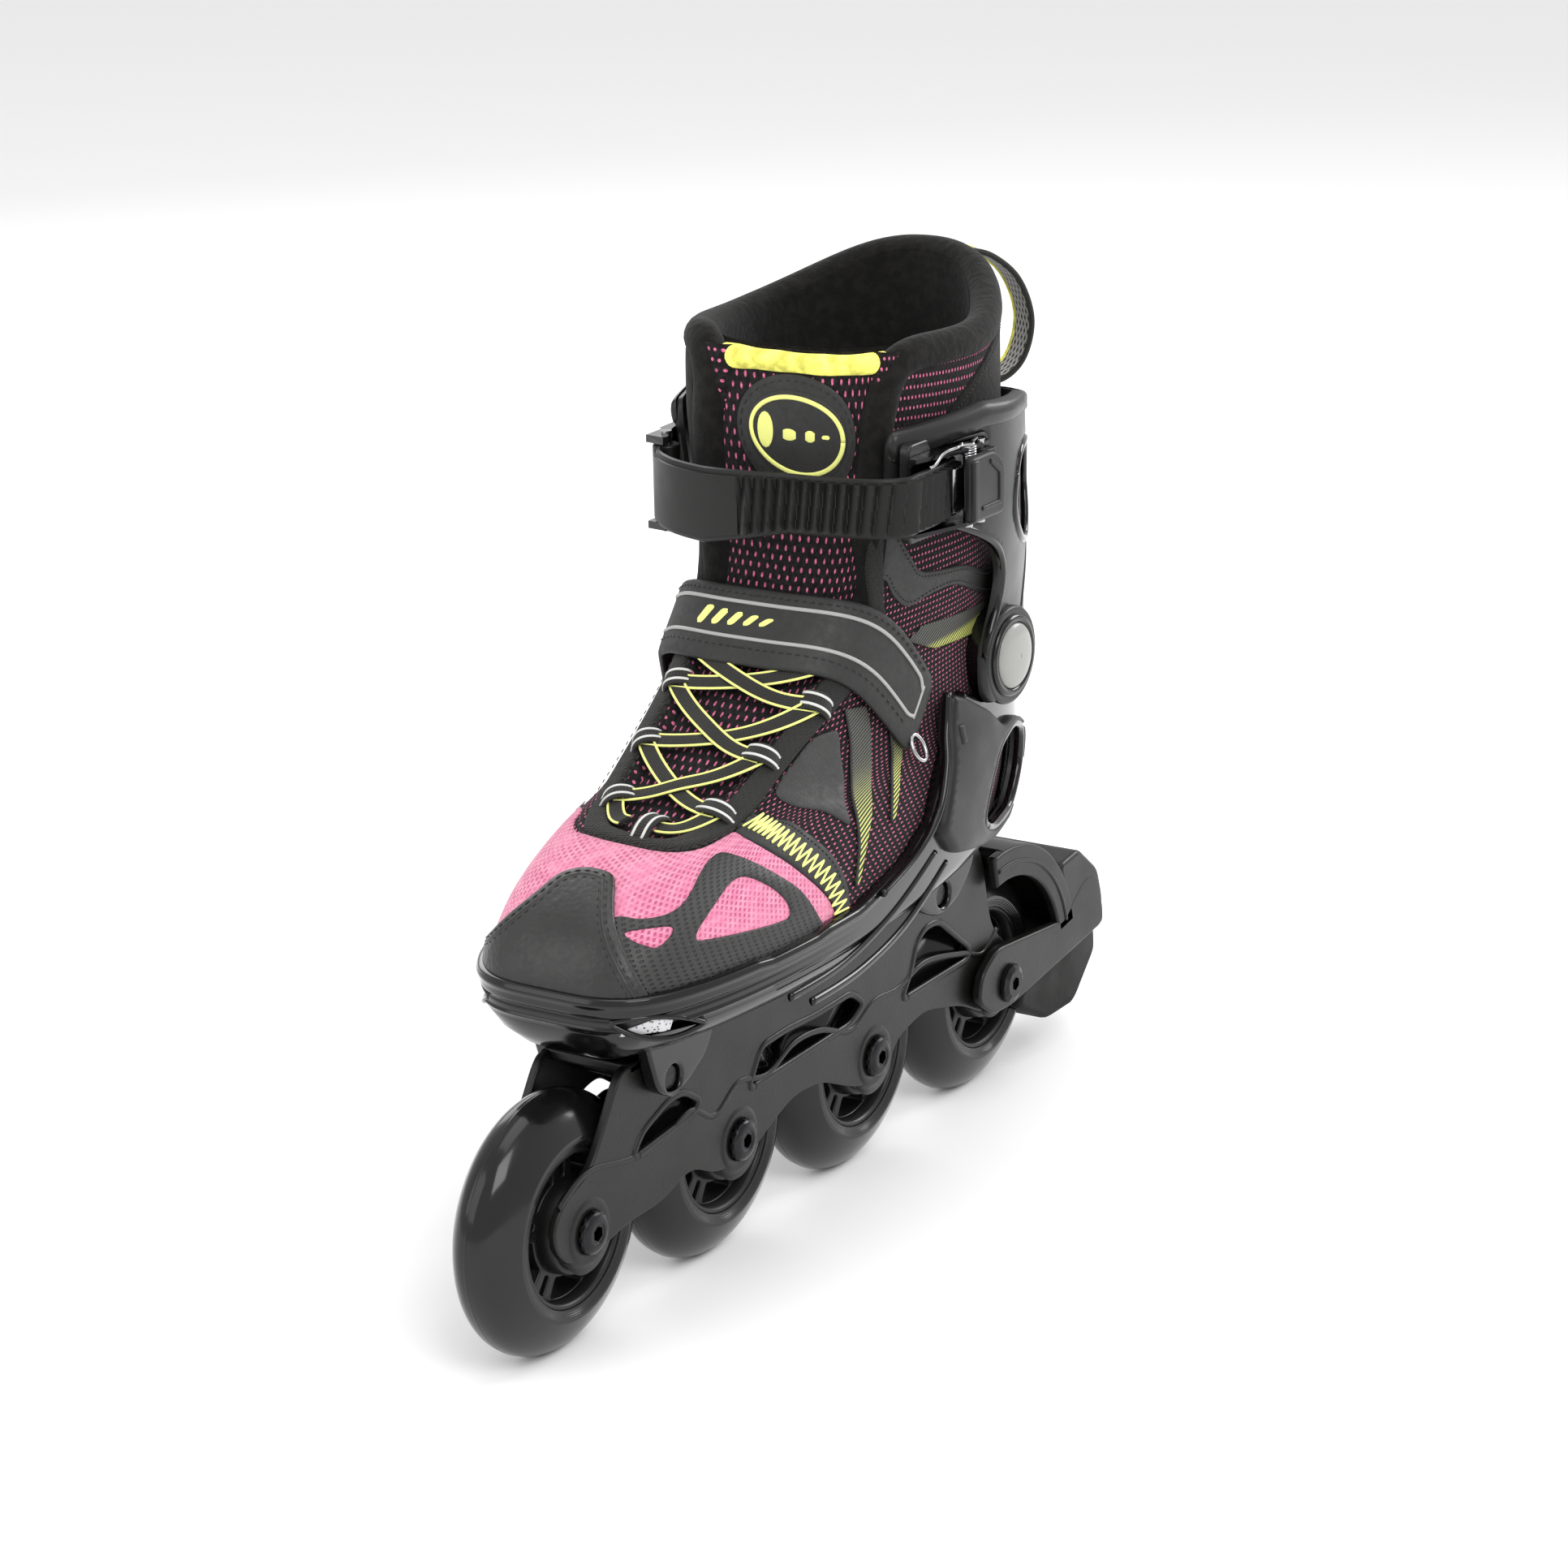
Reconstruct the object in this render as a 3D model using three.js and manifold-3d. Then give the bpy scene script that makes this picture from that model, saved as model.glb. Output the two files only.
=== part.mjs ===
// One inline skate (left foot): soft boot in a plastic shell with a hinged ankle cuff,
// a ratchet buckle and ladder strap, a four-wheel frame and a heel brake.
// Millimetres, +X towards the toe, +Y to the skater's left, +Z up. The skate stands on z = 0,
// and the group is shifted along X so that its origin is under the middle of its box.
import * as THREE from "three";
import { mergeVertices } from "three/addons/utils/BufferGeometryUtils.js";
import Module from "manifold-3d";

// Wheels and frame
const WHEEL_R = 40; // 80 mm wheels
const WHEEL_PITCH = 81; // distance between axles
const AXLE_X = [1.5, 0.5, -0.5, -1.5].map((k) => k * WHEEL_PITCH);
const TYRE_IN_R = 24.45; // where the tyre is cast round the hub
const HUB_R = 24.3;
const BEARING = { r: 11, bore: 4.16, width: 7, outerFace: 11.95 }; // 608 size
const AXLE_R = 3.97;
const RAIL = { inner: 12.5, outer: 15.5, boss: 16.1 };
const BRAKE = { inner: 16.9, outer: 20.6, x: AXLE_X[3], fender: [43.5, 47.5] };
const FRONT_DECK = { x: [56, 99], z: [80.4, 84] };
const REAR_DECK = { x: [-104, -60], z: [93.4, 97] };
const DECK_GAP = 0.3; // between frame decks and shell sole
const FRONT_BOLT = { x: 84, z: 76 };
const REAR_BOLT = { x: -76, z: 85 };
const ORIGIN_SHIFT = 22.5; // moves the origin under the middle of the box

// Boot surface: tilted rings from the sole (0) to the collar (1). Each row gives the ring's height
// share, its front point (x, z), its back point (x, z), its half-widths at the ball, the middle and
// the heel, and its sideways shift.
const BOOT_RINGS = [
  [0.0, 117, 101, -128, 105, 45, 41, 36, 0],
  [0.1, 118.5, 114, -132, 118, 46, 42, 38, 0],
  [0.2, 110, 128, -133, 132, 43, 41.5, 39, 0],
  [0.3, 90, 138.5, -133, 146, 39, 40.5, 39.5, -1.5],
  [0.4, 61, 145, -132, 158, 37.5, 39, 38.5, -3],
  [0.5, 34, 158, -130.5, 172, 36.5, 38.5, 38, -4],
  [0.6, 9, 174, -129, 186, 36.5, 38.5, 38, -5],
  [0.7, -9, 192, -127, 202, 38, 40, 38, -5],
  [0.8, -16, 214, -124, 222, 40, 42, 39, -5],
  [0.9, -17, 244, -121, 252, 43, 44, 40.5, -6],
  [1.0, -18, 273, -121, 289, 45, 45, 41, -7],
];
const TOE_SHIFT = 3.5; // the toe end of the last leans outward by this much
const TOE_X = 120;
const FRONT_ROUND = 0.5; // smaller is squarer at the front of a ring
const BACK_ROUND = 0.9;
const COLLAR_SAG = 9; // dip of the collar line between front and back
const WALL = 8; // padded boot wall
const RING_POINTS = 28;

// Shell, cuff and the ankle pivot
const PIVOT = { x: -84, z: 167 };
const ANKLE_SHIFT = -4; // the ankle's middle plane lies this far inward
const SHELL_GAP = 0.5; // between boot and shell
const SHELL_WALL = 3.4;
const WING_OUT = 7.4; // outer face of the raised wings, outside the boot surface
const CUFF_IN = 5; // cuff's inner face outside the boot surface
const CUFF_OUT = 8.4;
const LOBE = { r: 16, shellFace: 42.4, cuffIn: 43.1, cuffOut: 46.4, capIn: 46.8, capOut: 49.3 };
const CAP_R = 11;
const RIVET_R = 4;
const FLEX_FRONT_DEG = 10; // forward flex of the cuff
const SEAM_FRONT_DEG = 17; // top edge of the foot part, ahead of the pivot
const SEAM_BACK_DEG = 4;

// Shell fittings
const SIDE_RIVET = { x: -50, z: 148, r: 3.2 };
const VENTS = [
  { name: "toe_vent_left", x: 109, y: 33.5, turn: 45 },
  { name: "toe_vent_right", x: 107, y: -29.5, turn: -48 },
];
const VENT = { z: 102.5, half: 14, tall: 3.6, depth: 1.6 };

// Buckle and ladder strap
const STRAP_PIN = { x: -24, y: -48, r: 1.8 };
const TAIL = { inner: 92.5, thick: 2.2, tooth: 1.3, pitch: 5.2, fromX: -44, toX: -19 };
const STRAP_Z = { low: 221.5, high: 240, anchorLow: 214.5, anchorHigh: 238.5 };
const STRAP_FRONT = [
  [-13, 44.2], [-7.5, 38.5], [-4, 28], [-2.2, 14], [-2, -3], [-3.6, -19], [-8, -33], [-15, -43],
];
const POCKET_Y = 40.6;
const RATCHET = { x: [-58, -21], base: [40.9, 42], top: 49.6, low: 219, high: 243.4, wall: 1.3 };
const LEVER_PIN = { x: -53, y: 48, r: 1.5 };
const PAWL_PIN = { x: -45.5, y: 48, r: 1.5 };

const wasm = await Module();
wasm.setup();

const skate = new THREE.Group();
skate.position.x = ORIGIN_SHIFT;

// ---------------------------------------------------------------- helpers
function solidOf(geometry) {
  const bare = geometry.index ? geometry.toNonIndexed() : geometry.clone();
  bare.deleteAttribute("normal");
  bare.deleteAttribute("uv");
  const merged = mergeVertices(bare, 1e-4);
  const vertProperties = merged.attributes.position.array;
  const triVerts = new Uint32Array(merged.index.array);
  const made = new wasm.Manifold(new wasm.Mesh({ numProp: 3, vertProperties, triVerts }));
  if (made.volume() >= 0) return made;
  for (let i = 0; i < triVerts.length; i += 3) {
    [triVerts[i + 1], triVerts[i + 2]] = [triVerts[i + 2], triVerts[i + 1]];
  }
  return new wasm.Manifold(new wasm.Mesh({ numProp: 3, vertProperties, triVerts }));
}

function geometryOf(solid) {
  const mesh = solid.getMesh();
  const positions = new Float32Array(mesh.numVert * 3);
  for (let i = 0; i < mesh.numVert; i++) {
    positions.set(mesh.vertProperties.subarray(i * mesh.numProp, i * mesh.numProp + 3), i * 3);
  }
  const geometry = new THREE.BufferGeometry();
  geometry.setAttribute("position", new THREE.BufferAttribute(positions, 3));
  geometry.setIndex(new THREE.BufferAttribute(mesh.triVerts, 1));
  geometry.computeVertexNormals();
  return geometry;
}

function add(name, solid, finish) {
  const mesh = new THREE.Mesh(geometryOf(solid), new THREE.MeshStandardMaterial(finish));
  mesh.name = name;
  skate.add(mesh);
}

const join = (...solids) => solids.reduce((a, b) => a.add(b));
const mirrorY = (geometry) => geometry.clone().scale(1, -1, 1);

function polygon(points) {
  return new THREE.Shape(points.map(([x, y]) => new THREE.Vector2(x, y)));
}

// A side-view outline (x, z) given a thickness from y = low to y = high.
function plate(shape, low, high, segments = 6) {
  const geometry = new THREE.ExtrudeGeometry(shape, {
    depth: high - low, bevelEnabled: false, curveSegments: segments,
  });
  return geometry.rotateX(Math.PI / 2).translate(0, high, 0);
}

// A plan outline (x, y) given a height from z = low to z = high.
function slab(shape, low, high, segments = 6) {
  const options = { depth: high - low, bevelEnabled: false, curveSegments: segments };
  return new THREE.ExtrudeGeometry(shape, options).translate(0, 0, low);
}

function box(x, y, z) {
  return new THREE.BoxGeometry(x[1] - x[0], y[1] - y[0], z[1] - z[0])
    .translate((x[0] + x[1]) / 2, (y[0] + y[1]) / 2, (z[0] + z[1]) / 2);
}

// A cylinder along Y, at (x, z).
function crossRod(r, x, z, low, high, facets = 12) {
  return new THREE.CylinderGeometry(r, r, high - low, facets).translate(x, (low + high) / 2, z);
}

// A cylinder along Z, at (x, y).
function uprightRod(r, x, y, low, high, facets = 12) {
  return new THREE.CylinderGeometry(r, r, high - low, facets)
    .rotateX(Math.PI / 2).translate(x, y, (low + high) / 2);
}

// A closed profile of (radius, y) points turned about the Y axis at (x, z).
function turned(profile, x, z, facets = 36) {
  const points = profile.map(([r, y]) => new THREE.Vector2(r, y));
  return new THREE.LatheGeometry(points, facets).translate(x, 0, z);
}

// Joins a list of equal-length closed loops into one closed surface.
function loft(loops, hollow = false) {
  const count = loops[0].length;
  const positions = loops.flat().flatMap((p) => [p.x, p.y, p.z]);
  const index = [];
  const bands = hollow ? loops.length : loops.length - 1;
  for (let k = 0; k < bands; k++) {
    const next = (k + 1) % loops.length;
    for (let i = 0; i < count; i++) {
      const j = (i + 1) % count;
      index.push(k * count + i, k * count + j, next * count + j);
      index.push(k * count + i, next * count + j, next * count + i);
    }
  }
  if (!hollow) {
    for (let i = 1; i < count - 1; i++) {
      const last = (loops.length - 1) * count;
      index.push(0, i + 1, i, last, last + i, last + i + 1);
    }
  }
  const geometry = new THREE.BufferGeometry();
  geometry.setAttribute("position", new THREE.Float32BufferAttribute(positions, 3));
  geometry.setIndex(index);
  return geometry;
}

// Cubic interpolation through rows of [t, value, value, ...].
function through(rows, t) {
  let k = rows.findIndex((row) => row[0] > t) - 1;
  if (k < 0) k = t < rows[0][0] ? 0 : rows.length - 2;
  const [a, b] = [rows[k], rows[k + 1]];
  const before = rows[Math.max(k - 1, 0)];
  const after = rows[Math.min(k + 2, rows.length - 1)];
  const span = b[0] - a[0];
  const u = (t - a[0]) / span;
  return a.slice(1).map((value, i) => {
    const next = b[i + 1];
    const slopeA = ((next - before[i + 1]) / (b[0] - before[0])) * span;
    const slopeB = ((after[i + 1] - value) / (after[0] - a[0])) * span;
    const cubic = 2 * value - 2 * next + slopeA + slopeB;
    const square = -3 * value + 3 * next - 2 * slopeA - slopeB;
    return ((cubic * u + square) * u + slopeA) * u + value;
  });
}

// ---------------------------------------------------------------- boot surface
// The point at height share v and angle phi (0 at the front, a half turn at the back), off outside.
function bootPoint(v, phi, off = 0) {
  const [fx, fz, bx, bz, ball, middle, heel, shift] = through(BOOT_RINGS, v);
  const s = (1 - Math.cos(phi)) / 2;
  const x = fx + off + (bx - fx - 2 * off) * s;
  const half = through([[0, ball], [0.25, ball], [0.55, middle], [0.85, heel], [1, heel]], s)[0];
  const round = FRONT_ROUND + (BACK_ROUND - FRONT_ROUND) * s;
  const sine = Math.sin(phi);
  const y = (half + off) * Math.sign(sine) * Math.abs(sine) ** round;
  const sag = COLLAR_SAG * Math.min(Math.max((v - 0.8) / 0.2, 0), 1.2) * Math.sin(Math.PI * s ** 1.3);
  return new THREE.Vector3(x, y + shift + toeLean(x), fz + (bz - fz) * s - sag);
}

function bootRing(v, off = 0) {
  return Array.from({ length: RING_POINTS }, (_, i) => bootPoint(v, (2 * Math.PI * i) / RING_POINTS, off));
}

function toeLean(x) {
  return TOE_SHIFT * Math.max(0, x / TOE_X) ** 2;
}

function shares(low, high, count) {
  return Array.from({ length: count }, (_, k) => low + ((high - low) * k) / (count - 1));
}

// The boot surface as a solid, grown by off.
function bootBody(off, low = 0, high = 1, rings = 13) {
  const loops = shares(low, high, rings).map((v) => bootRing(v, off));
  if (low === 0) {
    loops.unshift(loops[0].map((p) => new THREE.Vector3(p.x * 0.97, p.y * 0.94, p.z - 3 - off)));
  }
  return solidOf(loft(loops));
}

// A big side-view polygon used as a cutter.
const sideCut = (points, low = -90, high = 90) => solidOf(plate(polygon(points), low, high));

function ray(deg, length) {
  const a = THREE.MathUtils.degToRad(deg);
  return [PIVOT.x + length * Math.cos(a), PIVOT.z + length * Math.sin(a)];
}

// Everything below the ankle seam, and everything above it.
function belowSeam() {
  const [fx, fz] = ray(SEAM_FRONT_DEG, 300);
  const [bx, bz] = ray(180 + SEAM_BACK_DEG, 150);
  return sideCut([[bx, bz - 0.5], [PIVOT.x, PIVOT.z - 0.5], [fx, fz - 0.5], [fx, 0], [bx, 0]]);
}

function aboveSeam(extraDeg = 1.5) {
  const [fx, fz] = ray(SEAM_FRONT_DEG + FLEX_FRONT_DEG + extraDeg, 200);
  return sideCut([
    [PIVOT.x - 150, PIVOT.z + 0.5], [PIVOT.x, PIVOT.z + 0.5], [fx, fz + 0.5], [fx, 400],
    [PIVOT.x - 150, 400],
  ]);
}

// ---------------------------------------------------------------- wheels
const URETHANE = { color: 0x151515, roughness: 0.18, metalness: 0 };
const HUB_PLASTIC = { color: 0x1b1b1c, roughness: 0.5, metalness: 0 };
const STEEL = { color: 0x9a9c9e, roughness: 0.3, metalness: 1 };
const BLACK_STEEL = { color: 0x2a2a2b, roughness: 0.35, metalness: 1 };
const FRAME_PLASTIC = { color: 0x141415, roughness: 0.42, metalness: 0 };

function tyre(x) {
  const half = [[TYRE_IN_R, 10.2], [26.5, 11.8], [32.5, 8.6], [38, 4.6]];
  const mirrored = half.slice().reverse().map(([r, y]) => [r, -y]);
  return solidOf(turned([...half, [WHEEL_R, 0], ...mirrored, half[0]], x, WHEEL_R));
}

// A wedge-shaped opening between two radii, both edges parallel to a spoke.
function spokeGap(inner, outer, fromDeg, toDeg, edge) {
  const points = [];
  const at = (r, deg, shift) => {
    const a = THREE.MathUtils.degToRad(deg);
    points.push([r * Math.cos(a) - shift * Math.sin(a), r * Math.sin(a) + shift * Math.cos(a)]);
  };
  at(inner, fromDeg, edge);
  at(outer, fromDeg, edge);
  const steps = 2;
  for (let k = 1; k < steps; k++) {
    const a = THREE.MathUtils.degToRad(fromDeg + ((toDeg - fromDeg) * k) / steps);
    points.push([outer * 1.01 * Math.cos(a), outer * 1.01 * Math.sin(a)]);
  }
  at(outer, toDeg, -edge);
  at(inner, toDeg, -edge);
  return polygon(points);
}

function hub(x) {
  const seat = BEARING.r + 0.08;
  const shoulder = BEARING.outerFace - BEARING.width - 0.05;
  const half = [
    [seat, shoulder], [seat, 11.8], [13.4, 11.8], [14.2, 6.6], [21.6, 6.6], [HUB_R, 9.9],
  ];
  const mirrored = half.slice().reverse().map(([r, y]) => [r, -y]);
  const profile = [[9, shoulder], ...half, ...mirrored, [9, -shoulder], [9, shoulder]];
  let body = solidOf(turned(profile, 0, 0, 24));
  const spokes = 5;
  for (let k = 0; k < spokes; k++) {
    const deg = (360 / spokes) * k + 18;
    const wide = plate(spokeGap(15.4, 21, deg, deg + 360 / spokes, 4.6), -12, 12);
    const slot = plate(polygon([[15.4, -1.3], [20.6, -1.3], [20.6, 1.3], [15.4, 1.3]]), -12, 12);
    slot.rotateY(THREE.MathUtils.degToRad(-deg));
    body = body.subtract(solidOf(wide)).subtract(solidOf(slot));
  }
  return body.translate([x, 0, WHEEL_R]);
}

function ring(rOut, rIn, x, low, high, facets = 12) {
  const profile = [[rIn, low], [rOut, low], [rOut, high], [rIn, high], [rIn, low]];
  return solidOf(turned(profile, x, WHEEL_R, facets));
}

// The axle is a sleeve nut from the right with a button-headed screw in its left end.
function axle(x, reach) {
  const rod = solidOf(crossRod(AXLE_R, x, WHEEL_R, -reach - 0.2, RAIL.inner + 2));
  const head = solidOf(crossRod(6.8, x, WHEEL_R, -reach - 2.6, -reach - 0.2));
  return join(rod, head);
}

function axleBolt(x, reach) {
  const profile = [[0, 0.3], [6.8, 0.3], [6.6, 1.6], [4.6, 2.5], [0, 2.5], [0, 0.3]];
  const head = solidOf(turned(profile, x, WHEEL_R, 12)).translate([0, reach, 0]);
  const key = solidOf(crossRod(2.4, x, WHEEL_R, reach + 1.2, reach + 4, 6));
  const stem = solidOf(crossRod(AXLE_R, x, WHEEL_R, RAIL.inner + 2.3, reach + 0.5));
  return join(head, stem).subtract(key);
}

AXLE_X.forEach((x, i) => {
  const k = i + 1;
  const reach = k === 4 ? BRAKE.outer : RAIL.boss;
  const near = BEARING.outerFace - BEARING.width;
  add(`wheel_${k}_tyre`, tyre(x), URETHANE);
  add(`wheel_${k}_hub`, hub(x), HUB_PLASTIC);
  for (const [side, sign] of [["left", 1], ["right", -1]]) {
    const faces = [sign * near, sign * BEARING.outerFace].sort((a, b) => a - b);
    add(`wheel_${k}_bearing_${side}`, ring(BEARING.r, BEARING.bore, x, ...faces), STEEL);
  }
  add(`wheel_${k}_spacer`, ring(5.6, BEARING.bore, x, 0.05 - near, near - 0.05), STEEL);
  add(`axle_${k}`, axle(x, reach), BLACK_STEEL);
  add(`axle_bolt_${k}`, axleBolt(x, reach), BLACK_STEEL);
});

// ---------------------------------------------------------------- frame
function railShape() {
  const rail = polygon([
    [139, 47], [138, 39], [131, 32.5], [117, 32], [101, 35], [83, 35], [67, 40], [53, 33],
    [34, 32.5], [22, 38], [8, 43], [-8, 42], [-26, 34], [-34, 31.5], [-48, 31.5], [-56, 41],
    [-74, 44.5], [-99, 38], [-112, 31], [-126, 30], [-134, 36], [-134, 47], [-124, 55],
    [-118, 62], [-112, 88], [-104, 96.9], [-58, 96.9], [-48, 84], [-30, 78.5], [20, 80.3],
    [56, 83.9], [99, 83.9], [104, 82], [113, 68], [120, 58], [133, 54],
  ]);
  const windows = [
    [[99, 54], [93, 61], [79, 66], [70, 66], [61, 60], [66, 57]],
    [[35, 54], [27, 66], [12, 66.5], [-6, 65.5], [-27, 66], [-35, 60], [-26, 55.5]],
    [[-58, 53], [-65, 62], [-68, 70], [-74, 73.5], [-83, 73], [-104, 57], [-102, 53.5]],
  ];
  rail.holes = windows.map((points) => polygon(points));
  return rail;
}

function frame() {
  let body = solidOf(plate(railShape(), RAIL.inner, RAIL.outer));
  body = join(body, solidOf(mirrorY(plate(railShape(), RAIL.inner, RAIL.outer))));
  for (const deck of [FRONT_DECK, REAR_DECK]) {
    body = join(body, solidOf(box(deck.x, [-RAIL.outer, RAIL.outer], deck.z)));
  }
  const webs = [[[74, 88], [74, 80.6]], [[-7, 7], [70, 73]], [[-89, -72], [80, 84]]];
  for (const [xs, zs] of webs) body = join(body, solidOf(box(xs, [-13, 13], zs)));
  AXLE_X.forEach((x, i) => {
    const out = i === 3 ? RAIL.outer : RAIL.boss;
    for (const side of [-1, 1]) {
      const faces = [side * (RAIL.inner - 0.2), side * out].sort((a, b) => a - b);
      body = join(body, solidOf(crossRod(10, x, WHEEL_R, ...faces)));
    }
    body = body.subtract(solidOf(crossRod(AXLE_R + 0.15, x, WHEEL_R, -40, 40)));
  });
  for (const { x, z } of [FRONT_BOLT, REAR_BOLT]) {
    body = body.subtract(solidOf(crossRod(3.2, x, z, -40, 40, 12)));
  }
  return body;
}

add("frame", frame(), FRAME_PLASTIC);

for (const [name, { x, z }] of [["front", FRONT_BOLT], ["rear", REAR_BOLT]]) {
  const stem = solidOf(crossRod(3, x, z, -19.4, 19.4, 12));
  const heads = [[-19.8, -18.4], [18.4, 19.8]].map((y) => solidOf(crossRod(3.9, x, z, ...y, 12)));
  add(`mount_bolt_${name}`, join(stem, ...heads), BLACK_STEEL);
}

// ---------------------------------------------------------------- heel brake
function arcBand(rIn, rOut, fromDeg, toDeg, steps = 10) {
  const at = (r, k) => {
    const a = THREE.MathUtils.degToRad(fromDeg + ((toDeg - fromDeg) * k) / steps);
    return [BRAKE.x + r * Math.cos(a), WHEEL_R + r * Math.sin(a)];
  };
  const outer = Array.from({ length: steps + 1 }, (_, k) => at(rOut, k));
  const inner = Array.from({ length: steps + 1 }, (_, k) => at(rIn, steps - k));
  return polygon([...outer, ...inner]);
}

function brakeHousing() {
  const arm = polygon([
    [-103, 48], [-101, 38.5], [-111, 31.5], [-124, 31], [-190, 40.5], [-190, 46], [-186, 60],
    [-176, 62], [-160, 50.5], [-114, 54.5],
  ]);
  const sides = plate(arm, BRAKE.inner, BRAKE.outer);
  const cheek = plate(arcBand(36.5, BRAKE.fender[1], 78, 170), BRAKE.inner, BRAKE.outer);
  let body = solidOf(plate(arcBand(...BRAKE.fender, 86, 165, 12), -BRAKE.outer, BRAKE.outer));
  for (const part of [sides, cheek]) body = join(body, solidOf(part), solidOf(mirrorY(part)));
  const block = polygon([
    [-166, 56], [-168, 46.4], [-190, 46.4], [-189.5, 52], [-186, 62], [-172, 73], [-160, 68],
  ]);
  body = join(body, solidOf(plate(block, -BRAKE.outer, BRAKE.outer)));
  body = body.subtract(solidOf(crossRod(43.2, BRAKE.x, WHEEL_R, -BRAKE.inner, BRAKE.inner, 36)));
  body = body.subtract(solidOf(crossRod(AXLE_R + 0.15, BRAKE.x, WHEEL_R, -40, 40)));
  return body.subtract(solidOf(uprightRod(2.7, -179, 0, 30, 90, 12)));
}

function brakePad() {
  const side = polygon([
    [-150, 41], [-137, 25], [-158, 13.5], [-180, 13.5], [-205, 24], [-203, 38], [-192, 46],
    [-168, 46],
  ]);
  const plan = polygon([
    [-130, -15.6], [-130, 15.6], [-176, 15.6], [-207, 9], [-207, -9], [-176, -15.6],
  ]);
  const block = solidOf(plate(side, -17, 17)).intersect(solidOf(slab(plan, 0, 60)));
  const well = solidOf(uprightRod(2.7, -179, 0, 30, 60, 12));
  const clear = solidOf(crossRod(43.4, BRAKE.x, WHEEL_R, -20, 20, 36));
  return block.subtract(clear).subtract(well);
}

add("brake_housing", brakeHousing(), FRAME_PLASTIC);
add("brake_pad", brakePad(), { color: 0x191817, roughness: 0.8, metalness: 0 });
add("brake_pad_bolt", solidOf(uprightRod(2.4, -179, 0, 31, 62, 12)), STEEL);

// ---------------------------------------------------------------- soft boot
const KNIT = { color: 0x241a20, roughness: 0.9, metalness: 0 };
const LINING = { color: 0x101010, roughness: 1, metalness: 0 };
const THROAT = [
  [70, 11], [62, 17], [40, 21], [10, 24], [-6, 29], [-24, 34], [-50, 34], [-50, -36], [-24, -40],
  [-6, -34], [10, -27], [40, -23], [62, -19], [70, -13],
];

// The opening over the instep, filled by the tongue.
function throat(grow) {
  const points = THROAT.map(([x, y]) => [x + (x > 65 ? grow : 0), y + grow * Math.sign(y)]);
  return solidOf(slab(polygon(points), 118, 300));
}

function bootCavity() {
  const rings = shares(0, 1, 11).map((v) => bootRing(Math.max(v, 0.02), -WALL));
  rings.push(bootRing(1, -WALL).map((p) => new THREE.Vector3(p.x, p.y, p.z + 20)));
  return solidOf(loft(rings));
}

const biggest = (solid) => solid.decompose().sort((a, b) => b.volume() - a.volume())[0];
const bootAll = bootBody(0).subtract(bootCavity());
const quarters = bootAll.subtract(throat(0.4));
const tongueBack = solidOf(box([-150, -28.5], [-60, 60], [100, 320]));
const tongueAll = bootAll.intersect(throat(0)).subtract(tongueBack);

add("boot_upper", biggest(quarters.intersect(belowSeam())), KNIT);
add("boot_shaft", biggest(quarters.intersect(aboveSeam())), LINING);
add("tongue", biggest(tongueAll.intersect(belowSeam())), KNIT);
add("tongue_top", biggest(tongueAll.intersect(aboveSeam(8))), KNIT);

// A flat sheet that follows the bottom of the boot's cavity.
const insoleRing = (lift) => bootRing(0.02, -WALL - 1.2).map((p) => p.setZ(p.z + lift));
add("insole", solidOf(loft([insoleRing(0.6), insoleRing(4.6)])), LINING);

// Sewn loop at the back of the collar.
function pullLoop() {
  const loop = polygon([
    [-122.4, 287], [-138, 285.5], [-154, 277], [-161.5, 264], [-157, 251], [-144, 244.5],
    [-127, 245.5], [-122.4, 252],
  ]);
  loop.holes = [polygon([
    [-125, 284.5], [-137.5, 283], [-152.2, 275], [-158.8, 264], [-155, 253], [-143.6, 247.2],
    [-128, 248.1], [-125, 253],
  ])];
  return solidOf(plate(loop, -9, 9));
}

add("pull_loop", pullLoop(), { color: 0x3a3a3c, roughness: 0.8, metalness: 0 });

// ---------------------------------------------------------------- shell
const SHELL_PLASTIC = { color: 0x101011, roughness: 0.22, metalness: 0 };
const SOLE_LINE = [
  [-200, 97.3], [-58, 97.3], [-44, 93], [-20, 88], [20, 85.4], [56, 84.3], [200, 84.3],
];
const SHELL_SIDE = [
  [160, 60], [160, 111.5], [120, 112], [90, 112.5], [60, 112], [20, 113.5], [-10, 119],
  [-30, 128], [-41, 143], [-47, 163.5], [-58, 160], [-74, 154], [-150, 140.5], [-150, 60],
];
const WING_SIDE = [
  [-28, 126], [-41, 143], [-47, 163.5], [-58, 160], [-86, 143], [-108, 141], [-122, 128],
  [-118, 112], [-60, 112], [-40, 116],
];
const HEEL_WINDOW = [
  [-66, 117], [-70, 127], [-80, 138], [-97, 141], [-112, 136], [-115, 124], [-104, 111], [-80, 111],
];
const FRONT_EAR = [[60, 88], [66, 78], [78, 71.5], [86, 70.5], [92, 74], [97, 88]];
const REAR_EAR = [[-48, 99.5], [-50, 93], [-64, 82], [-74, 78], [-86, 81], [-95, 89], [-99, 99.5]];

// Both faces of a piece between two distances from the ankle's middle plane.
function ankleFaces(side, near, far) {
  return [side * near + ANKLE_SHIFT, side * far + ANKLE_SHIFT].sort((a, b) => a - b);
}

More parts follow.
